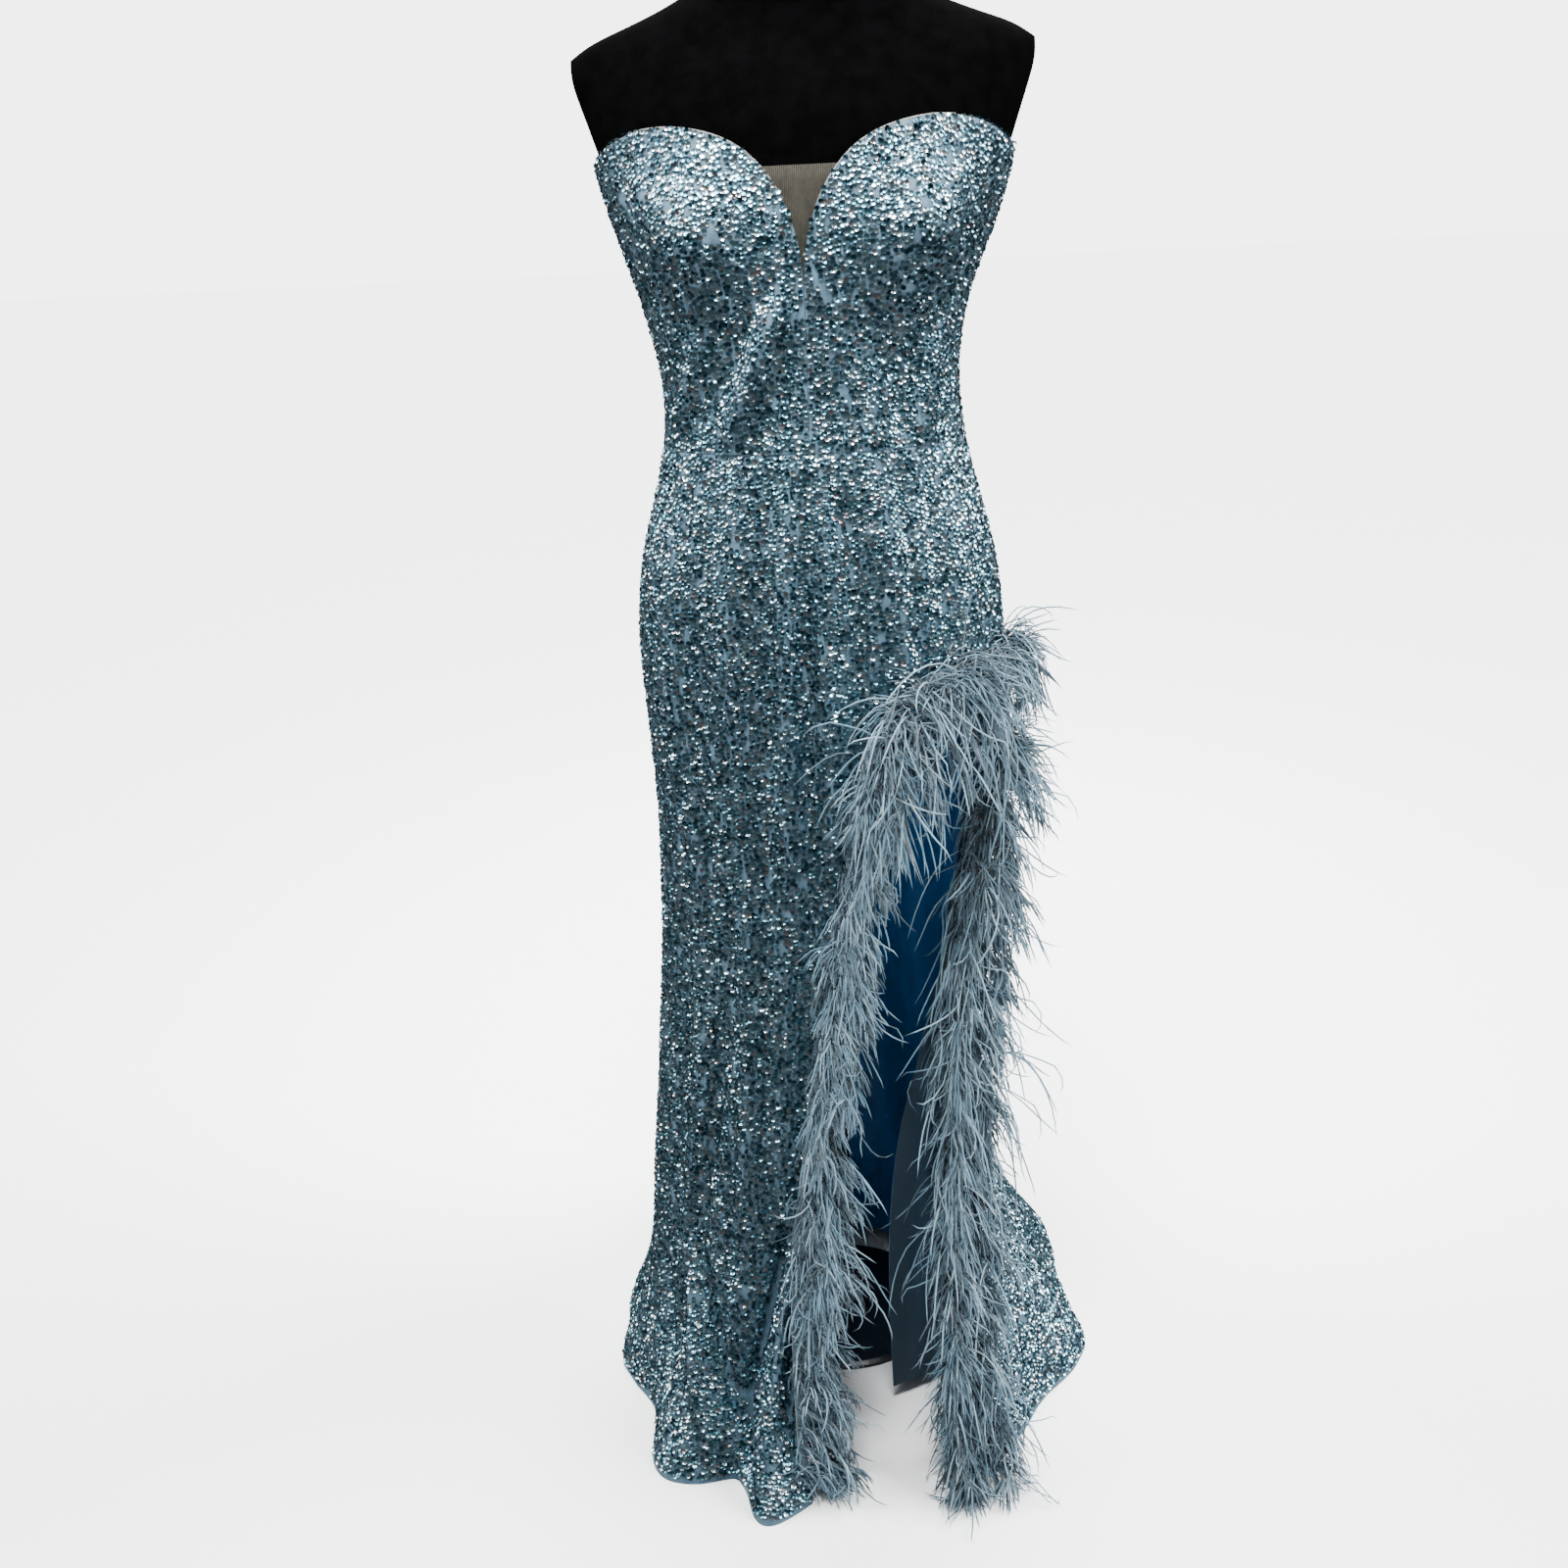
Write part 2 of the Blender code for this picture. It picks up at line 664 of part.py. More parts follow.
def build_lining():
    """The blue lining behind the slit, from under the form to just above the floor."""
    outer = []
    inner = []
    for v in shares(LINING_ROWS):
        height = LINING_TOP + (LINING_FOOT - LINING_TOP) * v
        edge = smooth(LINING_EDGE, height, "angle")
        angles = [edge + (LINING_TO - edge) * u for u in shares(LINING_COLUMNS)]
        outer.append([lining_point(angle, height, 0.0) for angle in angles])
        inner.append([lining_point(angle, height, -LINING) for angle in angles])
    add_object("skirt_lining", wall_mesh(outer, inner), material("blue_lining", (0.01, 0.13, 0.30), 0.5))


def edge_curve(rows, start, end):
    """Point, normal and direction at each end of each pair of locks, from one share of an edge to another."""
    steps = (LOCK_ROOT, LOCK_SPACING - LOCK_ROOT)
    fine = []
    count = 400
    for k in range(count + 1):
        down = start + (end - start) * k / count
        angle = smooth(rows, down, "angle")
        height = smooth(rows, down, "height")
        fine.append((surface(angle, height), angle, height))
    stations = [fine[0]]
    travelled = 0.0
    wanted = steps[0]
    for before, after in zip(fine, fine[1:]):
        travelled += (after[0] - before[0]).length
        if travelled >= wanted:
            wanted += steps[len(stations) % 2]
            stations.append(after)
    if len(stations) % 2:
        stations.pop()
    result = []
    for k, (point, angle, height) in enumerate(stations):
        after = stations[min(k + 1, len(stations) - 1)][0]
        before = stations[max(k - 1, 0)][0]
        result.append((point, surface_normal(angle, height), (after - before).normalized()))
    return result


def add_lock(mesh, corners, normal, direction, length):
    """One feather lock of three sides that grows out of three corners of the strip and bends down."""
    centre = sum((v.co for v in corners), Vector()) / 3

    def spine(u):
        point = centre + direction * length * u + Vector((0, 0, -1)) * length * LOCK_DROOP * u * u
        room = max(centre.z - TIP_CLEAR, 0.0)
        drop = centre.z - point.z
        if drop > 0:
            point.z = centre.z - room * (1 - math.exp(-drop / room)) if room > 0 else centre.z
        return point

    ring = list(corners)
    for u, width in ((0.30, 0.80), (0.68, 0.50)):
        tangent = (spine(u + 0.1) - spine(u - 0.1)).normalized()
        turn = normal.rotation_difference(tangent)
        middle = spine(u)
        fresh = [mesh.verts.new(middle + turn @ ((v.co - centre) * width)) for v in corners]
        for k in range(3):
            n = (k + 1) % 3
            mesh.faces.new((ring[k], ring[n], fresh[n], fresh[k]))
        ring = fresh
    tip = mesh.verts.new(spine(1.0))
    for k in range(3):
        mesh.faces.new((ring[k], ring[(k + 1) % 3], tip))


def build_trim(name, rows, start, end, cloth_side, leans, seed):
    """A backing strip outside the cloth along one edge of the slit, with pairs of feather locks on it.

    cloth_side is -1 where the cloth lies to the wearer's right of the edge, and 1 to the left.
    """
    chance = random.Random(seed)
    mesh = bmesh.new()
    sections = []
    frames = []
    for point, normal, along in edge_curve(rows, start, end):
        onto_cloth = normal.cross(along).normalized() * cloth_side
        near = point + onto_cloth * STRIP_INSET
        far = near + onto_cloth * STRIP_WIDTH
        low = normal * STRIP_OFF
        high = normal * (STRIP_OFF + STRIP_THICK)
        section = [mesh.verts.new(p) for p in (near + low, far + low, far + high, near + high)]
        sections.append(section)
        frames.append((normal, -onto_cloth))
    for k in range(len(sections) - 1):
        a = sections[k]
        b = sections[k + 1]
        for i in (0, 1, 3):
            n = (i + 1) % 4
            mesh.faces.new((a[i], a[n], b[n], b[i]))
        if k % 2:
            mesh.faces.new((a[2], a[3], b[3], b[2]))
            continue
        normal, to_gap = frames[k]
        lean = next(row for row in leans if k / len(sections) <= row.down)
        pair = (
            ((a[2], a[3], b[3]), lean.out, lean.gap),
            ((a[2], b[3], b[2]), lean.out_two, lean.gap_two),
        )
        for corners, out, gap in pair:
            wobble = Vector([chance.uniform(-1, 1) for _ in range(3)]) * LOCK_WOBBLE
            direction = (normal * out + to_gap * gap + Vector((0, 0, LOCK_FALL)) + wobble).normalized()
            reach = lean.length * chance.uniform(0.82, 1.12)
            add_lock(mesh, corners, normal, direction, reach)
    mesh.faces.new(sections[0])
    mesh.faces.new(sections[-1])
    add_object(name, mesh, material(f"{name}_feathers", FEATHER_BLUE, 0.8), 30.0)


def build_trims():
    """Both edges of the slit: long locks over its top, shorter ones down to the floor."""
    build_trim("feather_trim_front", SLIT_FRONT, 0.200, 0.990, -1, FRONT_LOCKS, 11)
    build_trim("feather_trim_back", SLIT_BACK, 0.290, 0.985, 1, BACK_LOCKS, 12)


def box_mesh(mesh, low, high):
    """A plain block between two corners, added to a mesh."""
    size = Vector(high) - Vector(low)
    middle = (Vector(high) + Vector(low)) / 2
    place = Matrix.Translation(middle) @ Matrix.Diagonal((*size, 1.0))
    bmesh.ops.create_cube(mesh, size=1.0, matrix=place)


def window_plate(name, outer, window, thickness, finish, place):
    """A flat plate with one window, both given as (near, foot, far, top) in the middle plane of the plate."""
    mesh = bmesh.new()
    loops = []
    for near, foot, far, top in (outer, window):
        for side in (-thickness / 2, thickness / 2):
            corners = ((near, foot), (far, foot), (far, top), (near, top))
            loops.append([mesh.verts.new(place @ Vector((x, side, z))) for x, z in corners])
    for a, b in ((loops[0], loops[1]), (loops[2], loops[3]), (loops[0], loops[2]), (loops[1], loops[3])):
        for k in range(4):
            n = (k + 1) % 4
            mesh.faces.new((a[k], a[n], b[n], b[k]))
    return add_object(name, mesh, finish, 30.0)


def build_zip():
    """The closing zip at the centre back: tape on the seam, slider at the top, and its hanging pull tab."""
    metal = (0.60, 0.63, 0.66)
    heights = [ZIP_FOOT + (ZIP_TOP - ZIP_FOOT) * v for v in shares(18)]
    places = []
    for height in heights:
        half_tape = seam_angle(height, ZIP_TAPE_WIDTH)
        places.append([(180.0 - half_tape, height), (180.0 + half_tape, height)])
    out = ZIP_TAPE_THICK + ZIP_TAPE_OFF
    cloth_wall("zip_tape", places, material("zip_tape_blue", (0.25, 0.42, 0.50), 0.7), out, ZIP_TAPE_THICK)

    seat = cloth_point(180.0, SLIDER_HEIGHT, out).y + SEAM_GAP
    top_of_plate = seat + SLIDER_PLATE
    hinge = top_of_plate + BRIDGE_ROOM / 2
    half = SLIDER_LENGTH / 2
    bridge_top = top_of_plate + BRIDGE_ROOM + BRIDGE_THICK
    window = BRIDGE_LENGTH - 2 * BRIDGE_LEG
    across = Matrix.Rotation(math.radians(90.0), 4, "Z")
    bridge_place = Matrix.Translation((0.0, 0.0, SLIDER_HEIGHT)) @ across
    slider = window_plate(
        "zip_slider",
        (seat + SLIDER_PLATE * 0.2, -BRIDGE_LENGTH / 2, bridge_top, BRIDGE_LENGTH / 2),
        (top_of_plate, -window / 2, top_of_plate + BRIDGE_ROOM, window / 2),
        BRIDGE_WIDTH,
        material("zip_slider_metal", metal, 0.3, 1.0),
        bridge_place,
    )
    plate = bmesh.new()
    box_mesh(
        plate,
        (-SLIDER_WIDTH / 2, seat, SLIDER_HEIGHT - half),
        (SLIDER_WIDTH / 2, top_of_plate, SLIDER_HEIGHT + half),
    )
    cutter = add_object("slider_plate", plate, material("slider_plate_metal", metal, 0.3, 1.0))
    cutter.hide_render = True
    cutter.display_type = "WIRE"
    join = slider.modifiers.new("plate", "BOOLEAN")
    join.operation = "UNION"
    join.object = cutter

    tab = window_plate(
        "zip_pull_tab",
        (-TAB_WIDTH / 2, -TAB_LENGTH, TAB_WIDTH / 2, TAB_BAR / 2),
        (-TAB_WIDTH / 2 + TAB_SIDE, -TAB_WINDOW, TAB_WIDTH / 2 - TAB_SIDE, -TAB_BAR / 2),
        TAB_THICK,
        material("zip_pull_metal", metal, 0.28, 1.0),
        Matrix.Identity(4),
    )
    tab.location = (0.0, hinge, SLIDER_HEIGHT)


build_form()
build_stand()
build_bodice()
build_mesh_insert()
build_skirt()
build_lining()
build_trims()
build_zip()
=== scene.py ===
"""A strapless sequin prom dress with a feather-edged slit, on a black dress form, in soft studio light."""

import math
import random
from collections import namedtuple

import bmesh
import bpy
import numpy as np
from mathutils import Matrix, Vector, noise
from mathutils.bvhtree import BVHTree


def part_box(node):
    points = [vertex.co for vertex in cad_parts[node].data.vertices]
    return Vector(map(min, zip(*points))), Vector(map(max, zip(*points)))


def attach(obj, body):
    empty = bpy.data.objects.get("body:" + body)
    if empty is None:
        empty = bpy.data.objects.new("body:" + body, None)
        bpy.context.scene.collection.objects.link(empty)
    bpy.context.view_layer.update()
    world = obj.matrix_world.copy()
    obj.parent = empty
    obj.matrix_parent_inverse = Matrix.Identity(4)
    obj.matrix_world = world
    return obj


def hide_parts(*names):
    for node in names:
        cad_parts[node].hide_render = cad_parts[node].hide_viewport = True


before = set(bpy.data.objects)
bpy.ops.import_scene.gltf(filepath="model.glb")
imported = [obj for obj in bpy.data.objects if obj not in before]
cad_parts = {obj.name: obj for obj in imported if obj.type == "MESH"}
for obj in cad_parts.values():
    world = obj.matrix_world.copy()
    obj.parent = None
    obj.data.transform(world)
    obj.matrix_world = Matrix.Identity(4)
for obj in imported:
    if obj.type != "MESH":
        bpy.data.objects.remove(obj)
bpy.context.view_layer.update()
bpy.ops.object.select_all(action="DESELECT")


# CAMERA
# A hand-held view from just in front of the dress, at chest height, looking down and tipped a little.
LENS = 34.0
FILM_WIDTH = 36.0
LOOK_DOWN = math.radians(19.6)
TIPPED = math.radians(2.6)
ROUND = math.radians(4.0)
EYE_HEIGHT = 1.17
EYE_DISTANCE = 1.42
EYE_ASIDE = 0.043

ahead = Vector((-math.sin(ROUND), math.cos(ROUND), 0.0))
aside = Vector((math.cos(ROUND), math.sin(ROUND), 0.0))
eye = ahead * -EYE_DISTANCE - aside * EYE_ASIDE + Vector((0.0, 0.0, EYE_HEIGHT))
look = ahead * math.cos(LOOK_DOWN) - Vector((0.0, 0.0, math.sin(LOOK_DOWN)))
lift = ahead * math.sin(LOOK_DOWN) + Vector((0.0, 0.0, math.cos(LOOK_DOWN)))
across = aside * math.cos(TIPPED) - lift * math.sin(TIPPED)
upward = lift * math.cos(TIPPED) + aside * math.sin(TIPPED)
bpy.ops.object.camera_add()
camera = bpy.context.object
camera.name = "camera"
camera.data.lens = LENS
camera.data.sensor_width = FILM_WIDTH
camera.matrix_world = Matrix((
    (across.x, upward.x, -look.x, eye.x),
    (across.y, upward.y, -look.y, eye.y),
    (across.z, upward.z, -look.z, eye.z),
    (0.0, 0.0, 0.0, 1.0),
))
bpy.context.scene.camera = camera
bpy.ops.object.select_all(action="DESELECT")


# FLOOR AND LIGHT
# A plain pale floor. A ceiling panel and high lamps give the sequins their glints, and a soft fill that
# mirrors don't catch opens the shade behind the slit.
FLOOR_SIZE = 400.0
FLOOR_COLOUR = (0.91, 0.915, 0.92, 1.0)
AIR_COLOUR = (0.98, 0.99, 1.0, 1.0)
AIR_LIGHT_COLOUR = (0.90, 0.96, 1.0, 1.0)
AIR_SEEN = 5.0            # how bright the plain background looks
AIR_LIGHT = 0.14          # how much light it gives
PANEL_PLACE = Vector((-0.12, -0.72, 2.65))
PANEL_AIM = Vector((0.0, 0.42, 1.25))
PANEL_SIZE = 1.05
PANEL_SPREAD = 74.0      # a grid keeps its beam off the hem
PANEL_POWER = 58.0
LAMP_DISTANCE = 4.0
Lamp = namedtuple("Lamp", "name turn height spread strength mirrored")
LAMPS = [
    Lamp("key_right", 94.0, 36.0, 42.0, 11.0, True),
    Lamp("rim_left", -96.0, 36.0, 38.0, 5.6, True),
    Lamp("key_behind", 176.0, 58.0, 40.0, 7.0, True),
    Lamp("fill_front", 4.0, 16.0, 40.0, 0.45, False),
    Lamp("fill_behind", 190.0, 14.0, 40.0, 0.5, False),
]

bpy.ops.mesh.primitive_plane_add(size=FLOOR_SIZE)
floor = bpy.context.object
floor.name = "studio_floor"
floor.visible_glossy = False
floor_paint = bpy.data.materials.new("studio_floor_paint")
floor_paint.use_nodes = True
floor_shader = floor_paint.node_tree.nodes["Principled BSDF"]
floor_shader.inputs["Base Color"].default_value = FLOOR_COLOUR
floor_shader.inputs["Roughness"].default_value = 0.9
floor_shader.inputs["Specular IOR Level"].default_value = 0.1
floor.data.materials.append(floor_paint)
for lamp in LAMPS:
    turn = math.radians(lamp.turn)
    rise = math.radians(lamp.height)
    way = Vector((math.sin(turn) * math.cos(rise), -math.cos(turn) * math.cos(rise), math.sin(rise)))
    bpy.ops.object.light_add(type="SUN", location=way * LAMP_DISTANCE)
    light = bpy.context.object
    light.name = lamp.name
    light.data.angle = math.radians(lamp.spread)
    light.data.energy = lamp.strength
    light.rotation_euler = (-way).to_track_quat("-Z", "Y").to_euler()
    light.visible_glossy = lamp.mirrored
bpy.ops.object.light_add(type="AREA", location=PANEL_PLACE)
panel = bpy.context.object
panel.name = "ceiling_panel"
panel.data.shape = "DISK"
panel.data.size = PANEL_SIZE
panel.data.energy = PANEL_POWER
panel.data.spread = math.radians(PANEL_SPREAD)
panel.rotation_euler = (PANEL_AIM - PANEL_PLACE).to_track_quat("-Z", "Y").to_euler()
world = bpy.data.worlds.new("studio_air")
bpy.context.scene.world = world
world.use_nodes = True
air = world.node_tree
seen = air.nodes["Background"]
seen.inputs["Color"].default_value = AIR_COLOUR
seen.inputs["Strength"].default_value = AIR_SEEN
light_given = air.nodes.new("ShaderNodeBackground")
light_given.inputs["Color"].default_value = AIR_LIGHT_COLOUR
light_given.inputs["Strength"].default_value = AIR_LIGHT
rays = air.nodes.new("ShaderNodeLightPath")
mixed = air.nodes.new("ShaderNodeMixShader")
air.links.new(rays.outputs["Is Camera Ray"], mixed.inputs["Fac"])
air.links.new(light_given.outputs["Background"], mixed.inputs[1])
air.links.new(seen.outputs["Background"], mixed.inputs[2])
air.links.new(mixed.outputs["Shader"], air.nodes["World Output"].inputs["Surface"])
bpy.ops.object.select_all(action="DESELECT")


# DRESS FORM
# A limbless torso of moulded foam under black velvet, with a capped neck. The velvet swallows nearly
# all the light and shows only a faint nap.
SHARP = math.radians(50.0)
MERGE = 0.00001           # points nearer than this are one


def merged_copy(name, node):
    """A piece from a copy of a CAD node, its doubled points merged and its quads put back."""
    piece = bpy.data.objects.new(name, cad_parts[node].data.copy())
    bpy.context.scene.collection.objects.link(piece)
    piece.data.materials.clear()
    bpy.ops.object.select_all(action="DESELECT")
    piece.select_set(True)
    bpy.context.view_layer.objects.active = piece
    bpy.ops.mesh.customdata_custom_splitnormals_clear()
    bpy.ops.object.mode_set(mode="EDIT")
    bpy.ops.mesh.select_all(action="SELECT")
    bpy.ops.mesh.remove_doubles(threshold=MERGE)
    bpy.ops.mesh.select_mode(type="EDGE")
    bpy.ops.mesh.select_all(action="DESELECT")
    bpy.ops.object.mode_set(mode="OBJECT")
    mesh = piece.data
    ends = np.array([edge.vertices[:] for edge in mesh.edges])
    places = np.array([vert.co[:] for vert in mesh.vertices])
    lengths = np.linalg.norm(places[ends[:, 0]] - places[ends[:, 1]], axis=1)
    loop_edges = np.zeros(len(mesh.loops), dtype=int)
    mesh.loops.foreach_get("edge_index", loop_edges)
    corners = loop_edges.reshape(-1, 3)
    longest = corners[np.arange(len(corners)), np.argmax(lengths[corners], axis=1)]
    diagonal = np.bincount(longest, minlength=len(ends)) == 2
    mesh.edges.foreach_set("select", diagonal)
    bpy.ops.object.mode_set(mode="EDIT")
    bpy.ops.mesh.dissolve_edges(use_verts=False, use_face_split=False)
    bpy.ops.mesh.select_mode(type="FACE")
    bpy.ops.mesh.select_all(action="SELECT")
    bpy.ops.mesh.tris_convert_to_quads(face_threshold=SHARP, shape_threshold=SHARP)
    bpy.ops.mesh.select_all(action="DESELECT")
    bpy.ops.object.mode_set(mode="OBJECT")
    return piece


def rounded(piece, levels):
    """Subdivides a piece to a smooth surface; its edges sharper than SHARP stay sharp."""
    mesh = piece.data
    normals = [Vector(face.normal) for face in mesh.polygons]
    sides = [[] for _ in mesh.edges]
    for face in mesh.polygons:
        for loop in face.loop_indices:
            sides[mesh.loops[loop].edge_index].append(face.index)
    creases = []
    for pair in sides:
        bend = normals[pair[0]].angle(normals[pair[1]], 0.0) if len(pair) == 2 else math.pi
        creases.append(1.0 if bend > SHARP else 0.0)
    mesh.attributes.new("crease_edge", "FLOAT", "EDGE").data.foreach_set("value", creases)
    smoothing = piece.modifiers.new("smoothing", "SUBSURF")
    smoothing.levels = levels
    smoothing.render_levels = levels
    bpy.context.view_layer.objects.active = piece
    bpy.ops.object.modifier_apply(modifier="smoothing")
    mesh.shade_smooth()
    mesh.set_sharp_from_angle(angle=SHARP)


def new_finish(name, roughness, metallic=0.0):
    """A material, its node tree and its shader."""
    finish = bpy.data.materials.new(name)
    finish.use_nodes = True
    shader = finish.node_tree.nodes["Principled BSDF"]
    shader.inputs["Roughness"].default_value = roughness
    shader.inputs["Metallic"].default_value = metallic
    return finish, finish.node_tree, shader


def noise_on_object(tree, scale, detail, stretch):
    """A noise texture on object coordinates, squeezed along each axis by stretch."""
    coordinates = tree.nodes.new("ShaderNodeTexCoord")
    mapping = tree.nodes.new("ShaderNodeMapping")
    mapping.inputs["Scale"].default_value = stretch
    speckle = tree.nodes.new("ShaderNodeTexNoise")
    speckle.inputs["Scale"].default_value = scale
    speckle.inputs["Detail"].default_value = detail
    tree.links.new(coordinates.outputs["Object"], mapping.inputs["Vector"])
    tree.links.new(mapping.outputs["Vector"], speckle.inputs["Vector"])
    return speckle


def mottle(tree, shader, scale, low, high, stretch=(1.0, 1.0, 1.0)):
    """Colours a surface with a soft noise between two colours."""
    speckle = noise_on_object(tree, scale, 5.0, stretch)
    ramp = tree.nodes.new("ShaderNodeValToRGB")
    ramp.color_ramp.elements[0].position = 0.35
    ramp.color_ramp.elements[1].position = 0.65
    ramp.color_ramp.elements[0].color = (*low, 1.0)
    ramp.color_ramp.elements[1].color = (*high, 1.0)
    tree.links.new(speckle.outputs["Fac"], ramp.inputs["Fac"])
    tree.links.new(ramp.outputs["Color"], shader.inputs["Base Color"])


def grain(tree, shader, scale, strength, distance, stretch=(1.0, 1.0, 1.0)):
    """A fine noise as relief."""
    speckle = noise_on_object(tree, scale, 3.0, stretch)
    bump = tree.nodes.new("ShaderNodeBump")
    bump.inputs["Strength"].default_value = strength
    bump.inputs["Distance"].default_value = distance
    tree.links.new(speckle.outputs["Fac"], bump.inputs["Height"])
    tree.links.new(bump.outputs["Normal"], shader.inputs["Normal"])


form = merged_copy("form_velvet_cover", "form_torso")
rounded(form, 2)
velvet, tree, shader = new_finish("form_black_velvet", 0.95)
shader.inputs["Specular IOR Level"].default_value = 0.008
mottle(tree, shader, 60.0, (0.0002, 0.0002, 0.0002), (0.0005, 0.0005, 0.0006))
grain(tree, shader, 1800.0, 0.4, 0.0004)
form.data.materials.append(velvet)
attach(form, "dress_and_form")
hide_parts("form_torso")


# STAND
# A round weighted steel base and a pole, both in black gloss paint, a black plastic height collar and
# a polished ring under it. All keep their CAD shape.
gloss, tree, shader = new_finish("stand_black_gloss", 0.35)
shader.inputs["Coat Weight"].default_value = 0.15
mottle(tree, shader, 25.0, (0.005, 0.007, 0.012), (0.010, 0.014, 0.024))
grain(tree, shader, 400.0, 0.08, 0.0003)
plastic, tree, shader = new_finish("collar_black_plastic", 0.3)
mottle(tree, shader, 80.0, (0.012, 0.012, 0.014), (0.022, 0.022, 0.025))
grain(tree, shader, 900.0, 0.15, 0.0002)
steel, tree, shader = new_finish("polished_steel", 0.16, 1.0)
mottle(tree, shader, 120.0, (0.55, 0.56, 0.58), (0.72, 0.73, 0.75), (1.0, 1.0, 6.0))
grain(tree, shader, 700.0, 0.1, 0.0001, (1.0, 1.0, 8.0))
STAND_FINISHES = [
    ("stand_base", gloss),
    ("stand_pole", gloss),
    ("stand_collar", plastic),
    ("stand_ring", steel),
]
for node, finish in STAND_FINISHES:
    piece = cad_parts[node]
    piece.data.materials.clear()
    piece.data.materials.append(finish)


# SKIRT LINING
# Blue satin sewn inside the back panels. It hangs in soft flutes behind the slit, open at its front edge,
# and a darker band of painted shade runs down that edge.
Crease = namedtuple("Crease", "angle height angle_two height_two out width")
LINING_SHADE_BAND = 0.085     # width of the painted shade: a darker band down its front edge, where the back trim's down lies in shadow
# the colour of that painted shade band
LINING_SHADE_COLOUR = (0.0045, 0.011, 0.018, 1.0)
EDGE_STEP = 0.02          # the front edge's place is found once in each stretch of this height
LINING_CREASES = [
    Crease(40.0, 0.40, 30.0, 0.03, 0.004, 0.010),
    Crease(62.0, 0.60, 52.0, 0.03, 0.006, 0.014),
    Crease(88.0, 0.66, 84.0, 0.03, -0.005, 0.012),
    Crease(112.0, 0.62, 116.0, 0.03, 0.006, 0.014),
    Crease(140.0, 0.60, 137.0, 0.03, -0.006, 0.013),
    Crease(158.0, 0.64, 160.0, 0.03, 0.006, 0.013),
    Crease(183.0, 0.60, 180.0, 0.03, 0.005, 0.012),
    Crease(205.0, 0.62, 208.0, 0.03, -0.006, 0.014),
    Crease(232.0, 0.60, 228.0, 0.03, 0.005, 0.012),
]


def press(piece, creases, ripple=0.0, flute=0.0):
    """Moves a cloth's points in or out along soft creases, with a faint ripple and hanging flutes.

    Each crease is a line in angle and height.
    """
    mesh = piece.data
    flat = np.zeros(len(mesh.vertices) * 3)
    mesh.vertices.foreach_get("co", flat)
    points = flat.reshape(-1, 3)
    reach = np.maximum(np.hypot(points[:, 0], points[:, 1]), 0.001)
    outward = np.stack([points[:, 0] / reach, points[:, 1] / reach, np.zeros(len(points))], axis=1)
    angle = np.degrees(np.arctan2(points[:, 0], -points[:, 1]))
    height = points[:, 2]
    moved = np.zeros(len(points))
    for crease in creases:
        run = math.radians(crease.angle_two - crease.angle)
        drop = crease.height_two - crease.height
        turn = np.radians((angle - crease.angle + 180.0) % 360.0 - 180.0) * reach
        rise = height - crease.height
        run = run * reach
        length = run * run + drop * drop
        share = np.clip((turn * run + rise * drop) / length, 0.0, 1.0)
        off = np.hypot(turn - share * run, rise - share * drop)
        fade = np.sin(np.pi * np.clip(share * 0.94 + 0.05, 0.0, 1.0)) ** 0.6
        moved += crease.out * fade * np.exp(-((off / crease.width) ** 2))
    turns = np.radians(angle)
    moved += ripple * (
        np.sin(turns * 23.0 + height * 9.0) * np.sin(height * 31.0 + turns * 5.0)
        + 0.6 * np.sin(turns * 41.0 - height * 17.0) * np.sin(height * 13.0 - turns * 9.0)
    )
    moved += flute * np.sin(turns * 23.0 + 1.4 * np.sin(height * 5.0 + turns * 3.0)) * (
        0.55 + 0.45 * np.sin(turns * 7.0 + height * 3.0)
    )
    points += outward * moved[:, None]
    mesh.vertices.foreach_set("co", points.ravel())
    mesh.attributes.new("pressed_out", "FLOAT", "POINT").data.foreach_set("value", moved)
    mesh.update()


lining = merged_copy("lining_satin", "skirt_lining")
rounded(lining, 2)
places = np.array([vert.co[:] for vert in lining.data.vertices])
turns = np.degrees(np.arctan2(places[:, 0], -places[:, 1])) % 360.0
rows = (places[:, 2] / EDGE_STEP).astype(int)
edge_turn = [turns[rows == row].min() if (rows == row).any() else 0.0 for row in range(rows.max() + 1)]
edge_at = np.interp(places[:, 2] / EDGE_STEP - 0.5, np.arange(len(edge_turn)), edge_turn)
from_edge = np.radians(np.clip(turns - edge_at, 0.0, 90.0)) * np.hypot(places[:, 0], places[:, 1])
lining.data.attributes.new("from_edge", "FLOAT", "POINT").data.foreach_set("value", from_edge)
press(lining, LINING_CREASES, 0.0006)
satin, tree, shader = new_finish("lining_blue_satin", 0.42)
shader.inputs["Sheen Weight"].default_value = 0.25
shader.inputs["Sheen Tint"].default_value = (0.35, 0.65, 1.0, 1.0)
mottle(tree, shader, 7.0, (0.0, 0.085, 0.27), (0.0, 0.14, 0.44), (3.0, 3.0, 0.6))
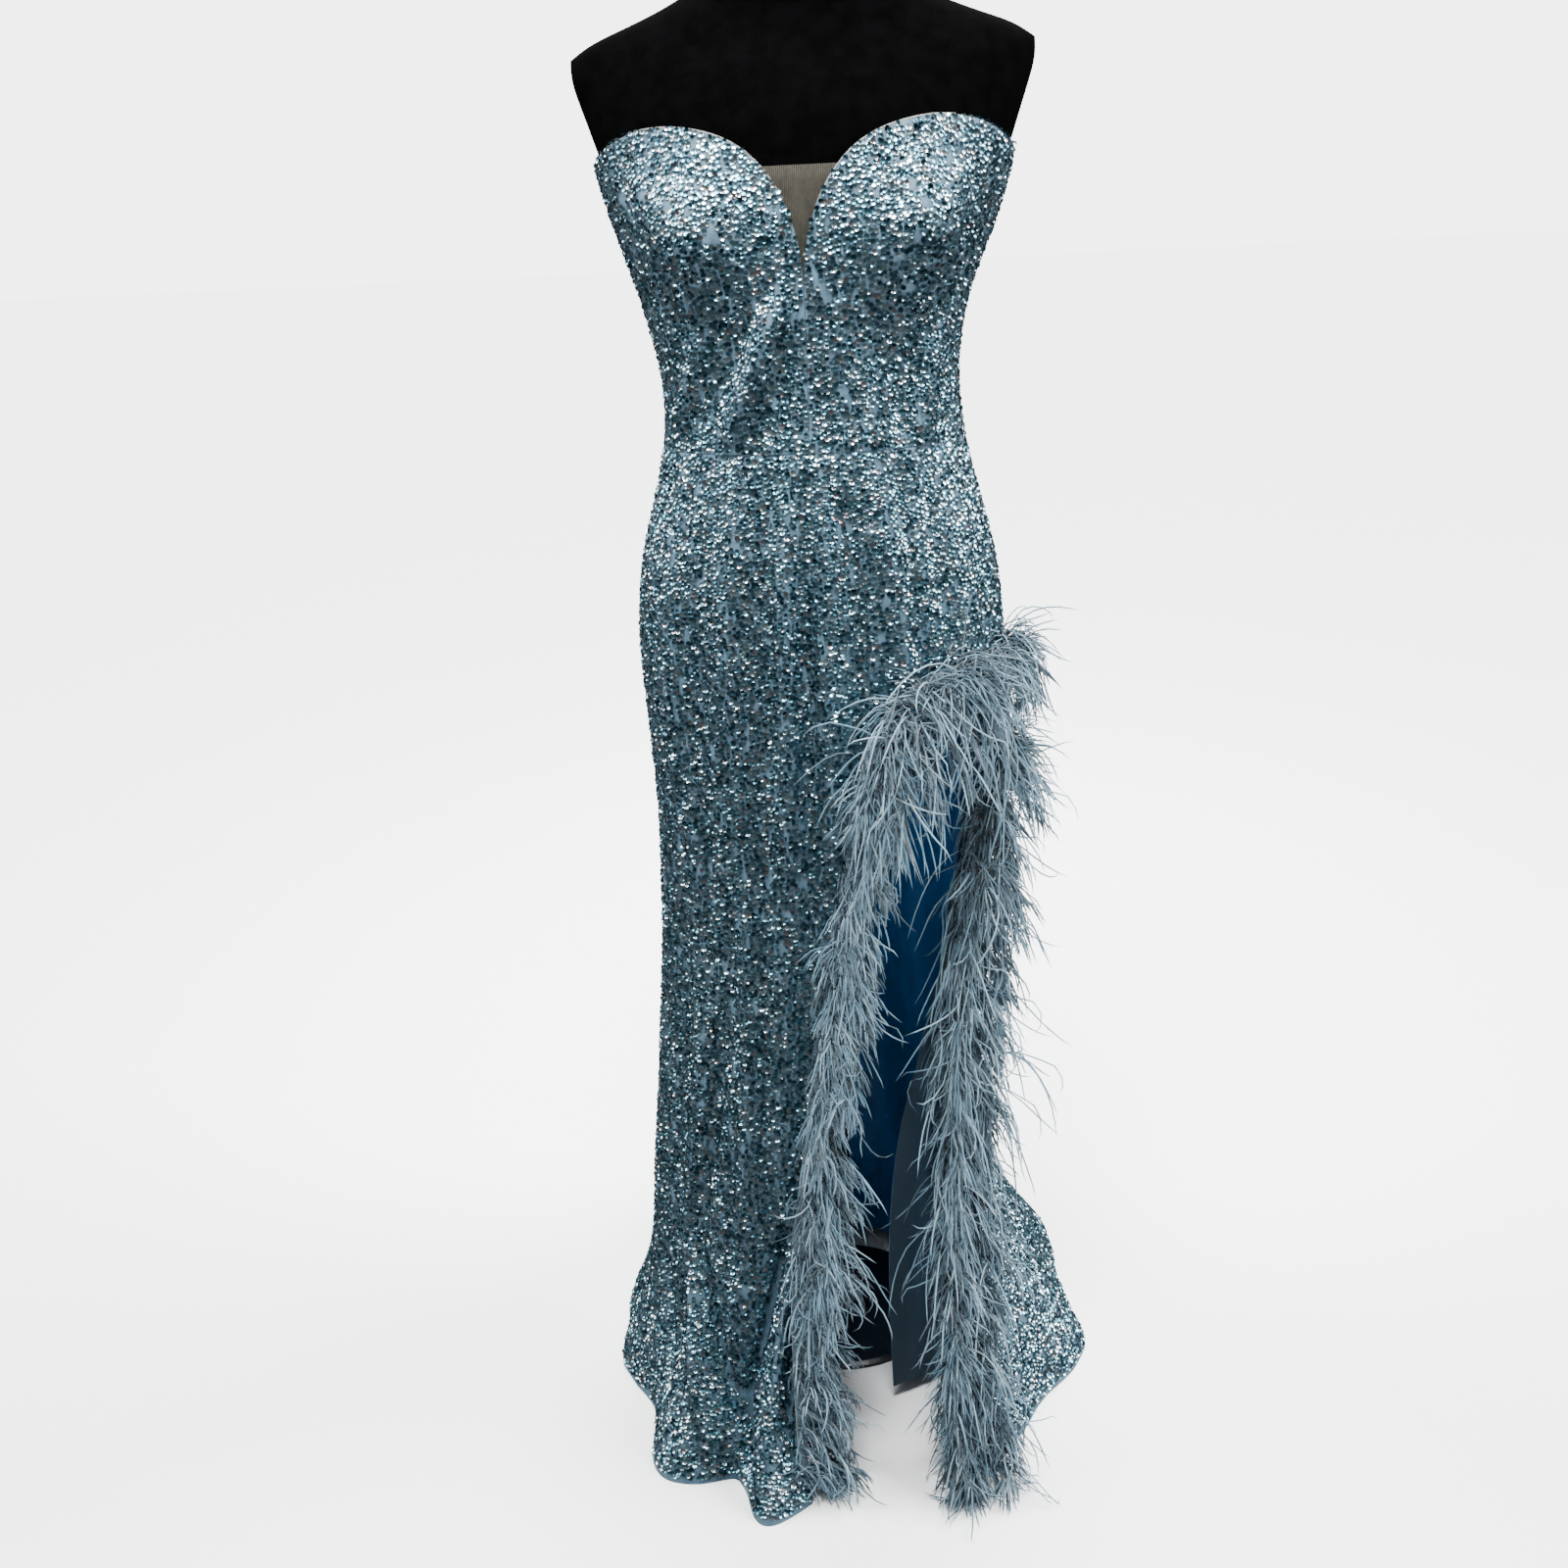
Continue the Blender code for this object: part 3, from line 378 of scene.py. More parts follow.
# Near the front edge the satin's colour gives way to the darker colour of the painted shade band.
facing = tree.nodes.new("ShaderNodeAttribute")
facing.attribute_name = "from_edge"
shade_band_edge = tree.nodes.new("ShaderNodeMapRange")
shade_band_edge.inputs["From Min"].default_value = LINING_SHADE_BAND
shade_band_edge.inputs["From Max"].default_value = LINING_SHADE_BAND * 1.25
blend = tree.nodes.new("ShaderNodeMix")
blend.data_type = "RGBA"
blend.inputs["A"].default_value = LINING_SHADE_COLOUR
tree.links.new(facing.outputs["Fac"], shade_band_edge.inputs["Value"])
tree.links.new(shade_band_edge.outputs["Result"], blend.inputs["Factor"])
tree.links.new(shader.inputs["Base Color"].links[0].from_socket, blend.inputs["B"])
tree.links.new(blend.outputs["Result"], shader.inputs["Base Color"])
grain(tree, shader, 2200.0, 0.15, 0.0002)
lining.data.materials.append(satin)
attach(lining, "dress_and_form")
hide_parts("skirt_lining")


# NECKLINE INSERT
# Taupe ribbed mesh tacked behind the V of the bodice, with a plain straight top edge. Its ribs are cords
# knitted into it.
RIB_PITCH = 0.0017
RIB_RADIUS = 0.00035
RIB_SIDES = 5
RIB_STEPS = 8
RIB_INSET = 0.002         # from the side edges to the first and last rib
RIB_END = 0.0004          # from the top and bottom edges to a rib's ends
RIB_OFF = 0.0001          # from the mesh to the middle of a rib
RAY_START = 0.05          # rays that look for a surface start this far from it

insert = merged_copy("insert_mesh", "neckline_mesh_insert")
rounded(insert, 2)
ground, tree, shader = new_finish("insert_taupe_mesh", 0.75)
shader.inputs["Specular IOR Level"].default_value = 0.1
mottle(tree, shader, 120.0, (0.010, 0.0094, 0.0072), (0.018, 0.017, 0.0132), (1.0, 1.0, 0.4))
grain(tree, shader, 2600.0, 0.5, 0.0003)
insert.data.materials.append(ground)
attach(insert, "dress_and_form")
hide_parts("neckline_mesh_insert")


def thread(name, lines, radius, sides):
    """One mesh of thin closed cords, each along a line of points."""
    points = []
    faces = []
    for line in lines:
        count = len(line)
        first = len(points)
        for k, place in enumerate(line):
            ahead_of = Vector(line[min(k + 1, count - 1)]) - Vector(line[max(k - 1, 0)])
            side = ahead_of.orthogonal().normalized()
            top = ahead_of.cross(side).normalized()
            for s in range(sides):
                turn = 2 * math.pi * s / sides
                points.append(Vector(place) + (side * math.cos(turn) + top * math.sin(turn)) * radius)
        for k in range(count - 1):
            for s in range(sides):
                t = (s + 1) % sides
                low = first + k * sides
                faces.append((low + s, low + t, low + sides + t, low + sides + s))
        faces.append(tuple(first + s for s in reversed(range(sides))))
        faces.append(tuple(first + (count - 1) * sides + s for s in range(sides)))
    mesh = bpy.data.meshes.new(name)
    mesh.from_pydata(points, [], faces)
    mesh.validate()
    mesh.shade_smooth()
    piece = bpy.data.objects.new(name, mesh)
    bpy.context.scene.collection.objects.link(piece)
    return piece


def surface_of(piece):
    """A piece's surface, to be asked for its nearest point or what a ray meets."""
    points = [vert.co for vert in piece.data.vertices]
    faces = [face.vertices[:] for face in piece.data.polygons]
    return BVHTree.FromPolygons(points, faces)


low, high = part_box("neckline_mesh_insert")
insert_tree = surface_of(insert)
ribs = []
for k in range(int((high.x - low.x - 2 * RIB_INSET) / RIB_PITCH)):
    x = low.x + RIB_INSET + k * RIB_PITCH
    line = []
    for step in range(RIB_STEPS + 1):
        z = low.z + RIB_END + (high.z - low.z - 2 * RIB_END) * step / RIB_STEPS
        hit = insert_tree.ray_cast(Vector((x, low.y - RAY_START, z)), Vector((0.0, 1.0, 0.0)))
        if hit[0] is not None:
            line.append(hit[0] + Vector((0.0, -RIB_OFF, 0.0)))
    if len(line) > 2:
        ribs.append(line)
insert_ribs = thread("insert_ribs", ribs, RIB_RADIUS, RIB_SIDES)
cord, tree, shader = new_finish("insert_rib_cord", 0.7)
shader.inputs["Specular IOR Level"].default_value = 0.1
mottle(tree, shader, 300.0, (0.018, 0.0170, 0.0128), (0.030, 0.0283, 0.0215))
insert_ribs.data.materials.append(cord)
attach(insert_ribs, "dress_and_form")


# SEQUIN CLOTH
# Blue net sewn all over with cupped foil sequins. Each panel is cut and sewn on its own; the cloth drapes
# in soft creases from the bust and the hip, and in folds to the hem.
BODICE_CREASES = [
    Crease(-89.0, 1.0155, 89.0, 1.0155, 0.0010, 0.005),
    Crease(-13.0, 1.128, -39.5, 1.012, 0.0145, 0.012),
    Crease(-4.0, 1.115, -27.0, 1.010, -0.0030, 0.012),
    Crease(-24.0, 1.130, -50.0, 1.020, -0.0030, 0.011),
    Crease(-50.0, 1.104, -66.5, 1.020, 0.0095, 0.010),
    Crease(61.0, 1.100, 54.0, 1.010, 0.0090, 0.010),
    Crease(50.0, 1.090, 44.0, 1.010, -0.0025, 0.010),
    Crease(30.0, 1.070, 27.0, 1.010, 0.0030, 0.010),
    Crease(-62.0, 1.120, -70.0, 1.020, 0.0025, 0.010),
    Crease(68.0, 1.110, 74.0, 1.015, 0.0025, 0.010),
    Crease(-110.0, 1.110, -122.0, 1.010, 0.0030, 0.012),
    Crease(112.0, 1.105, 120.0, 1.015, 0.0032, 0.011),
    Crease(-148.0, 1.090, -160.0, 1.012, 0.0026, 0.012),
    Crease(150.0, 1.100, 158.0, 1.010, 0.0024, 0.010),
]
SKIRT_CREASES = [
    Crease(-89.0, 0.9965, 89.0, 0.9965, 0.0010, 0.005),
    Crease(-36.0, 0.985, -39.0, 0.720, 0.0050, 0.010),
    Crease(-24.0, 0.950, -27.0, 0.480, -0.0048, 0.010),
    Crease(-13.0, 0.985, -16.5, 0.580, 0.0055, 0.010),
    Crease(-5.0, 0.960, -6.0, 0.560, -0.0045, 0.010),
    Crease(5.0, 0.985, 6.0, 0.560, 0.0048, 0.010),
    Crease(17.0, 0.970, 20.0, 0.680, -0.0040, 0.010),
    Crease(30.0, 0.985, 36.0, 0.780, 0.0050, 0.011),
    Crease(48.0, 0.960, 54.0, 0.820, -0.0030, 0.012),
    Crease(-50.0, 0.940, -48.0, 0.560, -0.0040, 0.012),
    Crease(-64.0, 0.900, -66.0, 0.500, 0.0045, 0.014),
    Crease(-42.0, 0.560, -46.0, 0.180, -0.0060, 0.012),
    Crease(-33.0, 0.560, -30.0, 0.130, 0.0070, 0.012),
    Crease(-52.0, 0.460, -52.0, 0.100, 0.0070, 0.013),
    Crease(-19.5, 0.520, -20.0, 0.200, 0.0055, 0.011),
    Crease(-10.0, 0.540, -10.5, 0.200, -0.0050, 0.010),
    Crease(-62.0, 0.560, -60.0, 0.140, -0.0060, 0.013),
    Crease(-78.0, 0.640, -76.0, 0.120, 0.0060, 0.016),
    Crease(-17.5, 0.240, -25.3, 0.062, -0.0240, 0.0085),
    Crease(-25.3, 0.080, -19.0, 0.006, -0.0220, 0.0080),
    Crease(-14.0, 0.190, -11.0, 0.020, -0.0220, 0.0075),
    Crease(-13.5, 0.230, -16.5, 0.020, 0.0090, 0.0070),
    Crease(-50.0, 0.200, -29.0, 0.030, 0.0120, 0.0080),
    Crease(-43.0, 0.190, -24.0, 0.040, -0.0185, 0.0080),
    Crease(-68.0, 0.150, -46.0, 0.030, -0.0180, 0.0090),
    Crease(104.0, 0.900, 108.0, 0.420, 0.0035, 0.018),
    Crease(124.0, 0.860, 126.0, 0.400, -0.0035, 0.018),
    Crease(146.0, 0.800, 144.0, 0.300, 0.0040, 0.020),
    Crease(166.0, 0.820, 163.0, 0.320, -0.0036, 0.018),
    Crease(-170.0, 0.780, -160.0, 0.300, 0.0042, 0.020),
    Crease(-146.0, 0.840, -143.0, 0.360, -0.0036, 0.018),
    Crease(-124.0, 0.780, -125.0, 0.260, 0.0040, 0.020),
    Crease(-106.0, 0.820, -106.0, 0.380, -0.0030, 0.018),
]
BODICE_PRESS = (BODICE_CREASES, 0.0003, 0.0)          # creases, ripple and flutes
SKIRT_PRESS = (SKIRT_CREASES, 0.0007, 0.0016)
Panel = namedtuple("Panel", "node width length area")
PANELS = [
    Panel("bodice_front_left", 0.15, 0.29, 0.030),
    Panel("bodice_front_right", 0.15, 0.29, 0.030),
    Panel("bodice_side_left", 0.11, 0.28, 0.022),
    Panel("bodice_side_right", 0.12, 0.28, 0.025),
    Panel("bodice_back_left", 0.23, 0.25, 0.048),
    Panel("bodice_back_right", 0.21, 0.25, 0.045),
    Panel("skirt_front", 0.52, 1.06, 0.332),
    Panel("skirt_back_left", 0.68, 1.12, 0.407),
    Panel("skirt_back_right", 0.58, 1.12, 0.304),
]
SEQUIN_GAP = 0.00305      # the least distance between two sequins' middles
SEQUIN_RADIUS = 0.0024
SEQUIN_SIDES = 6
Cup = namedtuple("Cup", "share depth tilt")
CUPS = [                  # most lie close and shallow; the others stand off the net their own way
    Cup(0.60, 0.0008, 0.12),
    Cup(0.40, 0.0013, 0.34),
]
SEQUIN_OFF = 0.0006       # from the net to the middle of a cup
SEQUIN_SIZES = (0.85, 1.12)
SEQUIN_TRIES = 3.2        # places tried for each one that would fit in a square grid
SEQUIN_LIFT = 0.05        # the lower edge hangs away from the cloth
OUTER_SIDE = 0.05         # how far an outer face's direction points away from the middle, at least
BARE = 0.40               # the winding rows of sequins leave a little net bare
ROWS = Vector((150.0, 150.0, 60.0))
FOLD_SHADE_DEPTH = -0.0150       # sequins are left off a fold pressed in deeper than this, so the darker net shows along it as painted shade
HEM_CLEAR = 0.0045        # no sequin sits lower than this above the floor
SEAM_CLEAR = 0.0019       # nor nearer than this to the waist and centre-front seams
WAIST = 1.006
NECKLINE_DIP = 1.18
ZIP_CLEAR = 0.0046        # half the strip beside the zip that has no sequins
ZIP_FOOT = 0.877          # that strip's lower end
Foil = namedtuple("Foil", "name colour metallic roughness share")
FOILS = [
    Foil("sequin_ice", (0.42, 0.54, 0.58), 1.0, 0.26, 0.24),
    Foil("sequin_aqua", (0.20, 0.35, 0.41), 1.0, 0.28, 0.30),
    Foil("sequin_steel", (0.09, 0.19, 0.24), 1.0, 0.30, 0.25),
    Foil("sequin_teal", (0.035, 0.095, 0.125), 1.0, 0.32, 0.17),
    Foil("sequin_blush", (0.40, 0.37, 0.38), 1.0, 0.24, 0.04),
]

net, tree, shader = new_finish("dress_blue_net", 0.6)
shader.inputs["Sheen Weight"].default_value = 0.05
shader.inputs["Sheen Tint"].default_value = (0.6, 0.85, 1.0, 1.0)
mottle(tree, shader, 90.0, (0.014, 0.038, 0.058), (0.034, 0.078, 0.115), (1.0, 1.0, 0.6))
grain(tree, shader, 1500.0, 0.6, 0.0006)
foils = []
for foil in FOILS:
    finish, tree, shader = new_finish(foil.name, foil.roughness, foil.metallic)
    shader.inputs["Base Color"].default_value = (*foil.colour, 1.0)
    foils.append(finish)


def scattered(piece, gap, seed):
    """Places all over the outer side of a piece, none closer than gap, each with its face's direction."""
    chance = np.random.default_rng(seed)
    mesh = piece.data
    mesh.calc_loop_triangles()
    count = len(mesh.loop_triangles)
    corners = np.zeros(count * 3, dtype=int)
    mesh.loop_triangles.foreach_get("vertices", corners)
    flat = np.zeros(len(mesh.vertices) * 3)
    mesh.vertices.foreach_get("co", flat)
    tri = flat.reshape(-1, 3)[corners].reshape(-1, 3, 3)
    cross = np.cross(tri[:, 1] - tri[:, 0], tri[:, 2] - tri[:, 0])
    area = np.linalg.norm(cross, axis=1) / 2
    normal = cross / np.maximum(area[:, None] * 2, 1e-12)
    middle = tri.mean(axis=1)
    radial = middle[:, :2] / np.maximum(np.linalg.norm(middle[:, :2], axis=1), 1e-6)[:, None]
    outer = (normal[:, :2] * radial).sum(axis=1) > OUTER_SIDE
    pressed = np.zeros(len(mesh.vertices))
    mesh.attributes["pressed_out"].data.foreach_get("value", pressed)
    # Deep folds get no sequins, so their darker bare net is a painted shade along each fold.
    outside_fold_shade = pressed[corners].reshape(-1, 3).mean(axis=1) > FOLD_SHADE_DEPTH
    weight = np.where(outer & outside_fold_shade, area, 0.0)
    tries = int(weight.sum() / (gap * gap) * SEQUIN_TRIES)
    pick = chance.choice(count, size=tries, p=weight / weight.sum())
    a, b = chance.random((2, tries))
    over = a + b > 1.0
    a[over], b[over] = 1.0 - a[over], 1.0 - b[over]
    corner, second, third = tri[pick, 0], tri[pick, 1], tri[pick, 2]
    points = corner * (1 - a - b)[:, None] + second * a[:, None] + third * b[:, None]
    cells = np.floor(points / gap).astype(int)
    taken = {}
    kept = []
    near = [(i, j, k) for i in (-1, 0, 1) for j in (-1, 0, 1) for k in (-1, 0, 1)]
    for n in range(tries):
        x, y, z = points[n]
        if z < HEM_CLEAR or abs(z - WAIST) < SEAM_CLEAR:
            continue
        if y < 0.0 and abs(x) < SEAM_CLEAR and WAIST < z < NECKLINE_DIP:
            continue
        if y > 0.0 and abs(x) < ZIP_CLEAR and z > ZIP_FOOT:
            continue
        if noise.noise(Vector((x * ROWS.x, y * ROWS.y, z * ROWS.z))) > BARE:
            continue
        cx, cy, cz = cells[n]
        free = True
        for i, j, k in near:
            for px, py, pz in taken.get((cx + i, cy + j, cz + k), ()):
                if (px - x) ** 2 + (py - y) ** 2 + (pz - z) ** 2 < gap * gap:
                    free = False
                    break
            if not free:
                break
        if free:
            taken.setdefault((cx, cy, cz), []).append((x, y, z))
            kept.append(n)
    return points[kept], normal[pick[kept]]


def sew_sequins(name, cloth, seed):
    """One mesh of cupped sequins over a cloth piece, each tilted its own way."""
    points, normals = scattered(cloth, SEQUIN_GAP, seed)
    chance = np.random.default_rng(seed + 100)
    count = len(points)
    cup = np.where(chance.random(count) < CUPS[0].share, 0, 1)
    depth = np.array([row.depth for row in CUPS])[cup][:, None]
    tilt = chance.normal(0.0, 1.0, (count, 3)) * np.array([row.tilt for row in CUPS])[cup][:, None]
    facing = normals + tilt + np.array([0.0, 0.0, SEQUIN_LIFT])
    facing /= np.linalg.norm(facing, axis=1)[:, None]
    anyway = chance.normal(0.0, 1.0, (count, 3))
    side = np.cross(facing, anyway)
    side /= np.linalg.norm(side, axis=1)[:, None]
    other = np.cross(facing, side)
    size = SEQUIN_RADIUS * chance.uniform(*SEQUIN_SIZES, count)[:, None]
    middle = points + normals * SEQUIN_OFF
    verts = np.zeros((count, SEQUIN_SIDES + 1, 3))
    verts[:, 0] = middle
    for s in range(SEQUIN_SIDES):
        turn = 2 * math.pi * s / SEQUIN_SIDES
        verts[:, s + 1] = middle + (side * math.cos(turn) + other * math.sin(turn)) * size + facing * depth
    first = (np.arange(count) * (SEQUIN_SIDES + 1))[:, None, None]
    fan = np.array([[0, s + 1, (s + 1) % SEQUIN_SIDES + 1] for s in range(SEQUIN_SIDES)])
    faces = (first + fan[None]).reshape(-1, 3)
    mesh = bpy.data.meshes.new(name)
    mesh.from_pydata(verts.reshape(-1, 3), [], faces.tolist())
    shares = np.array([foil.share for foil in FOILS])
    kind = chance.choice(len(FOILS), size=count, p=shares / shares.sum())
    for finish in foils:
        mesh.materials.append(finish)
    mesh.polygons.foreach_set("material_index", np.repeat(kind, SEQUIN_SIDES).astype(np.int32))
    mesh.update()
    mesh.shade_smooth()
    piece = bpy.data.objects.new(name, mesh)
    bpy.context.scene.collection.objects.link(piece)
    return piece


cloths = {}
for number, panel in enumerate(PANELS):
    cloth = merged_copy(f"{panel.node}_cloth", panel.node)
    rounded(cloth, 2)
    skirt = panel.node.startswith("skirt")
    press(cloth, *(SKIRT_PRESS if skirt else BODICE_PRESS))
    cloth.data.materials.append(net)
    sequins = sew_sequins(f"{panel.node}_sequins", cloth, number)
    for piece in (cloth, sequins):
        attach(piece, "dress_and_form")
    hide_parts(panel.node)
    cloths[panel.node] = cloth


# GRIP EDGE
# A thin grey elastic inside the top of the bodice, which shows a little above the cups.
GRIP_STEP = 0.007
GRIP_RADIUS = 0.0011
GRIP_SIDES = 6
GRIP_PLACE = Vector((0.0, 0.0018, 0.0006))     # behind the cloth's edge and a little above it
grip_lines = []
for name in ("bodice_front_right", "bodice_front_left"):
    tops = {}
    for vert in cloths[name].data.vertices:
        column = round(vert.co.x / GRIP_STEP)
        if column not in tops or vert.co.z > tops[column].z:
            tops[column] = vert.co
    line = [tops[column] + GRIP_PLACE for column in sorted(tops)][1:-2]
    grip_lines.append([
        (line[max(k - 1, 0)] + line[k] * 2 + line[min(k + 1, len(line) - 1)]) / 4 for k in range(len(line))
    ])
grip = thread("bodice_grip_edge", grip_lines, GRIP_RADIUS, GRIP_SIDES)
elastic, tree, shader = new_finish("grip_grey_elastic", 0.6)
mottle(tree, shader, 500.0, (0.05, 0.05, 0.047), (0.11, 0.11, 0.105))
grain(tree, shader, 2500.0, 0.4, 0.0002)
grip.data.materials.append(elastic)
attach(grip, "dress_and_form")


# FEATHER TRIM
# Ostrich feather fringe on a narrow tape, sewn along both edges of the slit. Its locks are a soft mass of
# down, and from each of them thin curved barbs spring, up over the slit's top and in falls to the floor.
Plume = namedtuple("Plume", "node cloth reach sway tuft lift seed")
PLUMES = [
    Plume(
        "feather_trim_front", "skirt_front", 0.95,
        Vector((-0.15, -0.05, 0.0)), 26, Vector((-0.05, -0.20, 1.5)), 21,
    ),
    Plume(
        "feather_trim_back", "skirt_back_left", 1.25,
        Vector((-0.10, -0.12, 0.0)), 5, Vector((0.0, 0.15, 2.2)), 22,
    ),
]
Tint = namedtuple("Tint", "name colour")
TINTS = [
    Tint("feather_blue_grey", (0.017, 0.040, 0.056)),
    Tint("feather_pale_blue", (0.048, 0.103, 0.142)),
    Tint("feather_white_tip", (0.120, 0.190, 0.235)),
]
Layer = namedtuple("Layer", "clumps strands steps radius length curl droop shares")
LAYERS = [                # a dense soft mass of short barbs, and longer ones that curl over it
    # The short barbs deep in the mass mostly take the darker tint as painted shade between the strands;
    # the long ones that curl over it mostly take the paler tints.
    Layer(560, 8, 5, 0.0009, (0.024, 0.046), 0.14, (0.55, 1.00), (0.60, 0.35, 0.05)),
    Layer(440, 3, 7, 0.0009, (0.040, 0.078), 0.26, (0.45, 0.95), (0.10, 0.52, 0.38)),
]
TINT_KEPT = 0.8           # of the barbs of a clump have its tint, and the others any
LOCK_LENGTH = 0.070       # of a lock whose barbs are as long as a layer says
ROOT_SHARE = 0.72         # how far out along a lock its last barbs spring
SPREAD = (0.60, 0.35, 0.35)    # of the clumps' directions, along X, Y and Z
HEAD_LOCKS = 4            # the first lock carries the barbs of this many more
FOOT_LOCKS = 4            # and so does the last, whose barbs lie on the floor
TUFT_PART = 0.7           # of the clumps on the first locks are lifted into a tuft
TUFT_SHARE = 0.35         # and spring no further out along them than this
BARB_LENGTHS = (0.6, 1.1)
BARB_FAN = 0.25
BARB_TURNOVER = (0.3, 1.2)     # where along itself a barb begins to curl the other way
BARB_BACK = -1.6
BARB_SCATTER = 0.0035     # of the roots of one clump
BARB_SIDES = 3
BARB_FLOOR = 0.003        # barbs that come lower are spread over this much above it
BARB_CLEAR = 0.0018       # what a barb keeps to the cloth
CLOTH_REACH = 0.03        # cloth further off is not looked for
TIP_BEND = 0.7            # the edges at a lock's tip stay within this angle of each other

tints = []
for tint in TINTS:
    finish, tree, shader = new_finish(tint.name, 0.75)
    shader.inputs["Base Color"].default_value = (*tint.colour, 1.0)
    shader.inputs["Sheen Weight"].default_value = 0.1
    tints.append(finish)
down_finish, tree, shader = new_finish("feather_down", 0.85)
shader.inputs["Sheen Weight"].default_value = 0.3
mottle(tree, shader, 160.0, (0.018, 0.038, 0.052), (0.038, 0.070, 0.092), (1.0, 1.0, 0.15))
grain(tree, shader, 700.0, 0.8, 0.0012, (1.0, 1.0, 0.1))


def lock_spines(node):
    """The middle line of each lock of a trim, root first, in order along the tape."""
    shape = bmesh.new()
    shape.from_mesh(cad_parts[node].data)
    bmesh.ops.remove_doubles(shape, verts=shape.verts, dist=MERGE)
    shape.verts.index_update()
    places = [vert.co.copy() for vert in shape.verts]
    linked = [{edge.other_vert(vert).index for edge in vert.link_edges} for vert in shape.verts]
    shape.free()
    spines = []
    for tip in range(len(linked)):
        if len(linked[tip]) != 3:
            continue
        arms = [(places[n] - places[tip]).normalized() for n in linked[tip]]
        if arms[0].angle(arms[1]) > TIP_BEND or arms[1].angle(arms[2]) > TIP_BEND:
            continue
        rings = [{tip}, set(linked[tip])]
        for _ in range(2):
            beyond = set().union(*(linked[n] for n in rings[-1]))
            rings.append(beyond - rings[-1] - rings[-2])
        rings[3] = set(sorted(rings[3], key=lambda n: -sum(m in rings[2] for m in linked[n]))[:3])
        spine = []
        for ring in reversed(rings):
            spine.append(sum((places[n] for n in ring), Vector()) / len(ring))
        spines.append(spine)
    ordered = [max(spines, key=lambda spine: spine[0].z)]
    rest = [spine for spine in spines if spine is not ordered[0]]
    while rest:
        nearest = min(rest, key=lambda spine: (spine[0] - ordered[-1][0]).length)
        rest.remove(nearest)
        ordered.append(nearest)
    return ordered


def any_way(sigma):
    """A short random step, drawn from the plume's own chances."""
    return Vector([chance.gauss(0.0, sigma) for _ in range(3)])


def barb_line(layer, root, start, length, droop, cloth_tree):
    """One barb's points: it curls one way and then the other, droops, and keeps off cloth and floor."""
    step = length * chance.uniform(*BARB_LENGTHS) / layer.steps
    heading = (start + any_way(BARB_FAN)).normalized()
    axis = any_way(1.0).normalized()
    curl = chance.gauss(0.0, layer.curl)
    turnover = chance.uniform(*BARB_TURNOVER)
    place = root + any_way(BARB_SCATTER)
    line = [place]
    for k in range(layer.steps):
        place = place + heading * step
        hit, normal, _, _ = cloth_tree.find_nearest(place, CLOTH_REACH)
        if hit is not None and normal.x * hit.x + normal.y * hit.y > 0.0:
            above = (place - hit).dot(normal)
            if above < BARB_CLEAR:
                place = place + normal * (BARB_CLEAR - above)
        if place.z < BARB_FLOOR:
            place.z = BARB_FLOOR * (1.0 + chance.random())
        line.append(place)
        share = (k + 1) / layer.steps
        heading = (heading + Vector((0.0, 0.0, -droop * (1.0 - share)))).normalized()
        heading = Matrix.Rotation(curl if share < turnover else BARB_BACK * curl, 3, axis) @ heading
    return line


def add_barb(points, faces, line, radius):
    """Adds a closed three-sided strand along a line, thickest at its middle and pointed at its tip."""
    first = len(points)
    steps = len(line) - 1
    for k, place in enumerate(line[:-1]):
        along = line[k + 1] - line[max(k - 1, 0)]
        side = along.orthogonal().normalized()
        top = along.cross(side).normalized()
        wide = radius * (0.6 + 0.4 * math.sin(math.pi * k / steps))
        for s in range(BARB_SIDES):
            turn = 2 * math.pi * s / BARB_SIDES
            points.append(place + (side * math.cos(turn) + top * math.sin(turn)) * wide)
    points.append(line[-1])
    for k in range(steps - 1):
        low = first + k * BARB_SIDES
        for s in range(BARB_SIDES):
            t = (s + 1) % BARB_SIDES
            faces.append((low + s, low + t, low + BARB_SIDES + t, low + BARB_SIDES + s))
    tip = first + steps * BARB_SIDES
    for s in range(BARB_SIDES):
        faces.append((tip - BARB_SIDES + s, tip - BARB_SIDES + (s + 1) % BARB_SIDES, tip))
    faces.append((first + 2, first + 1, first))


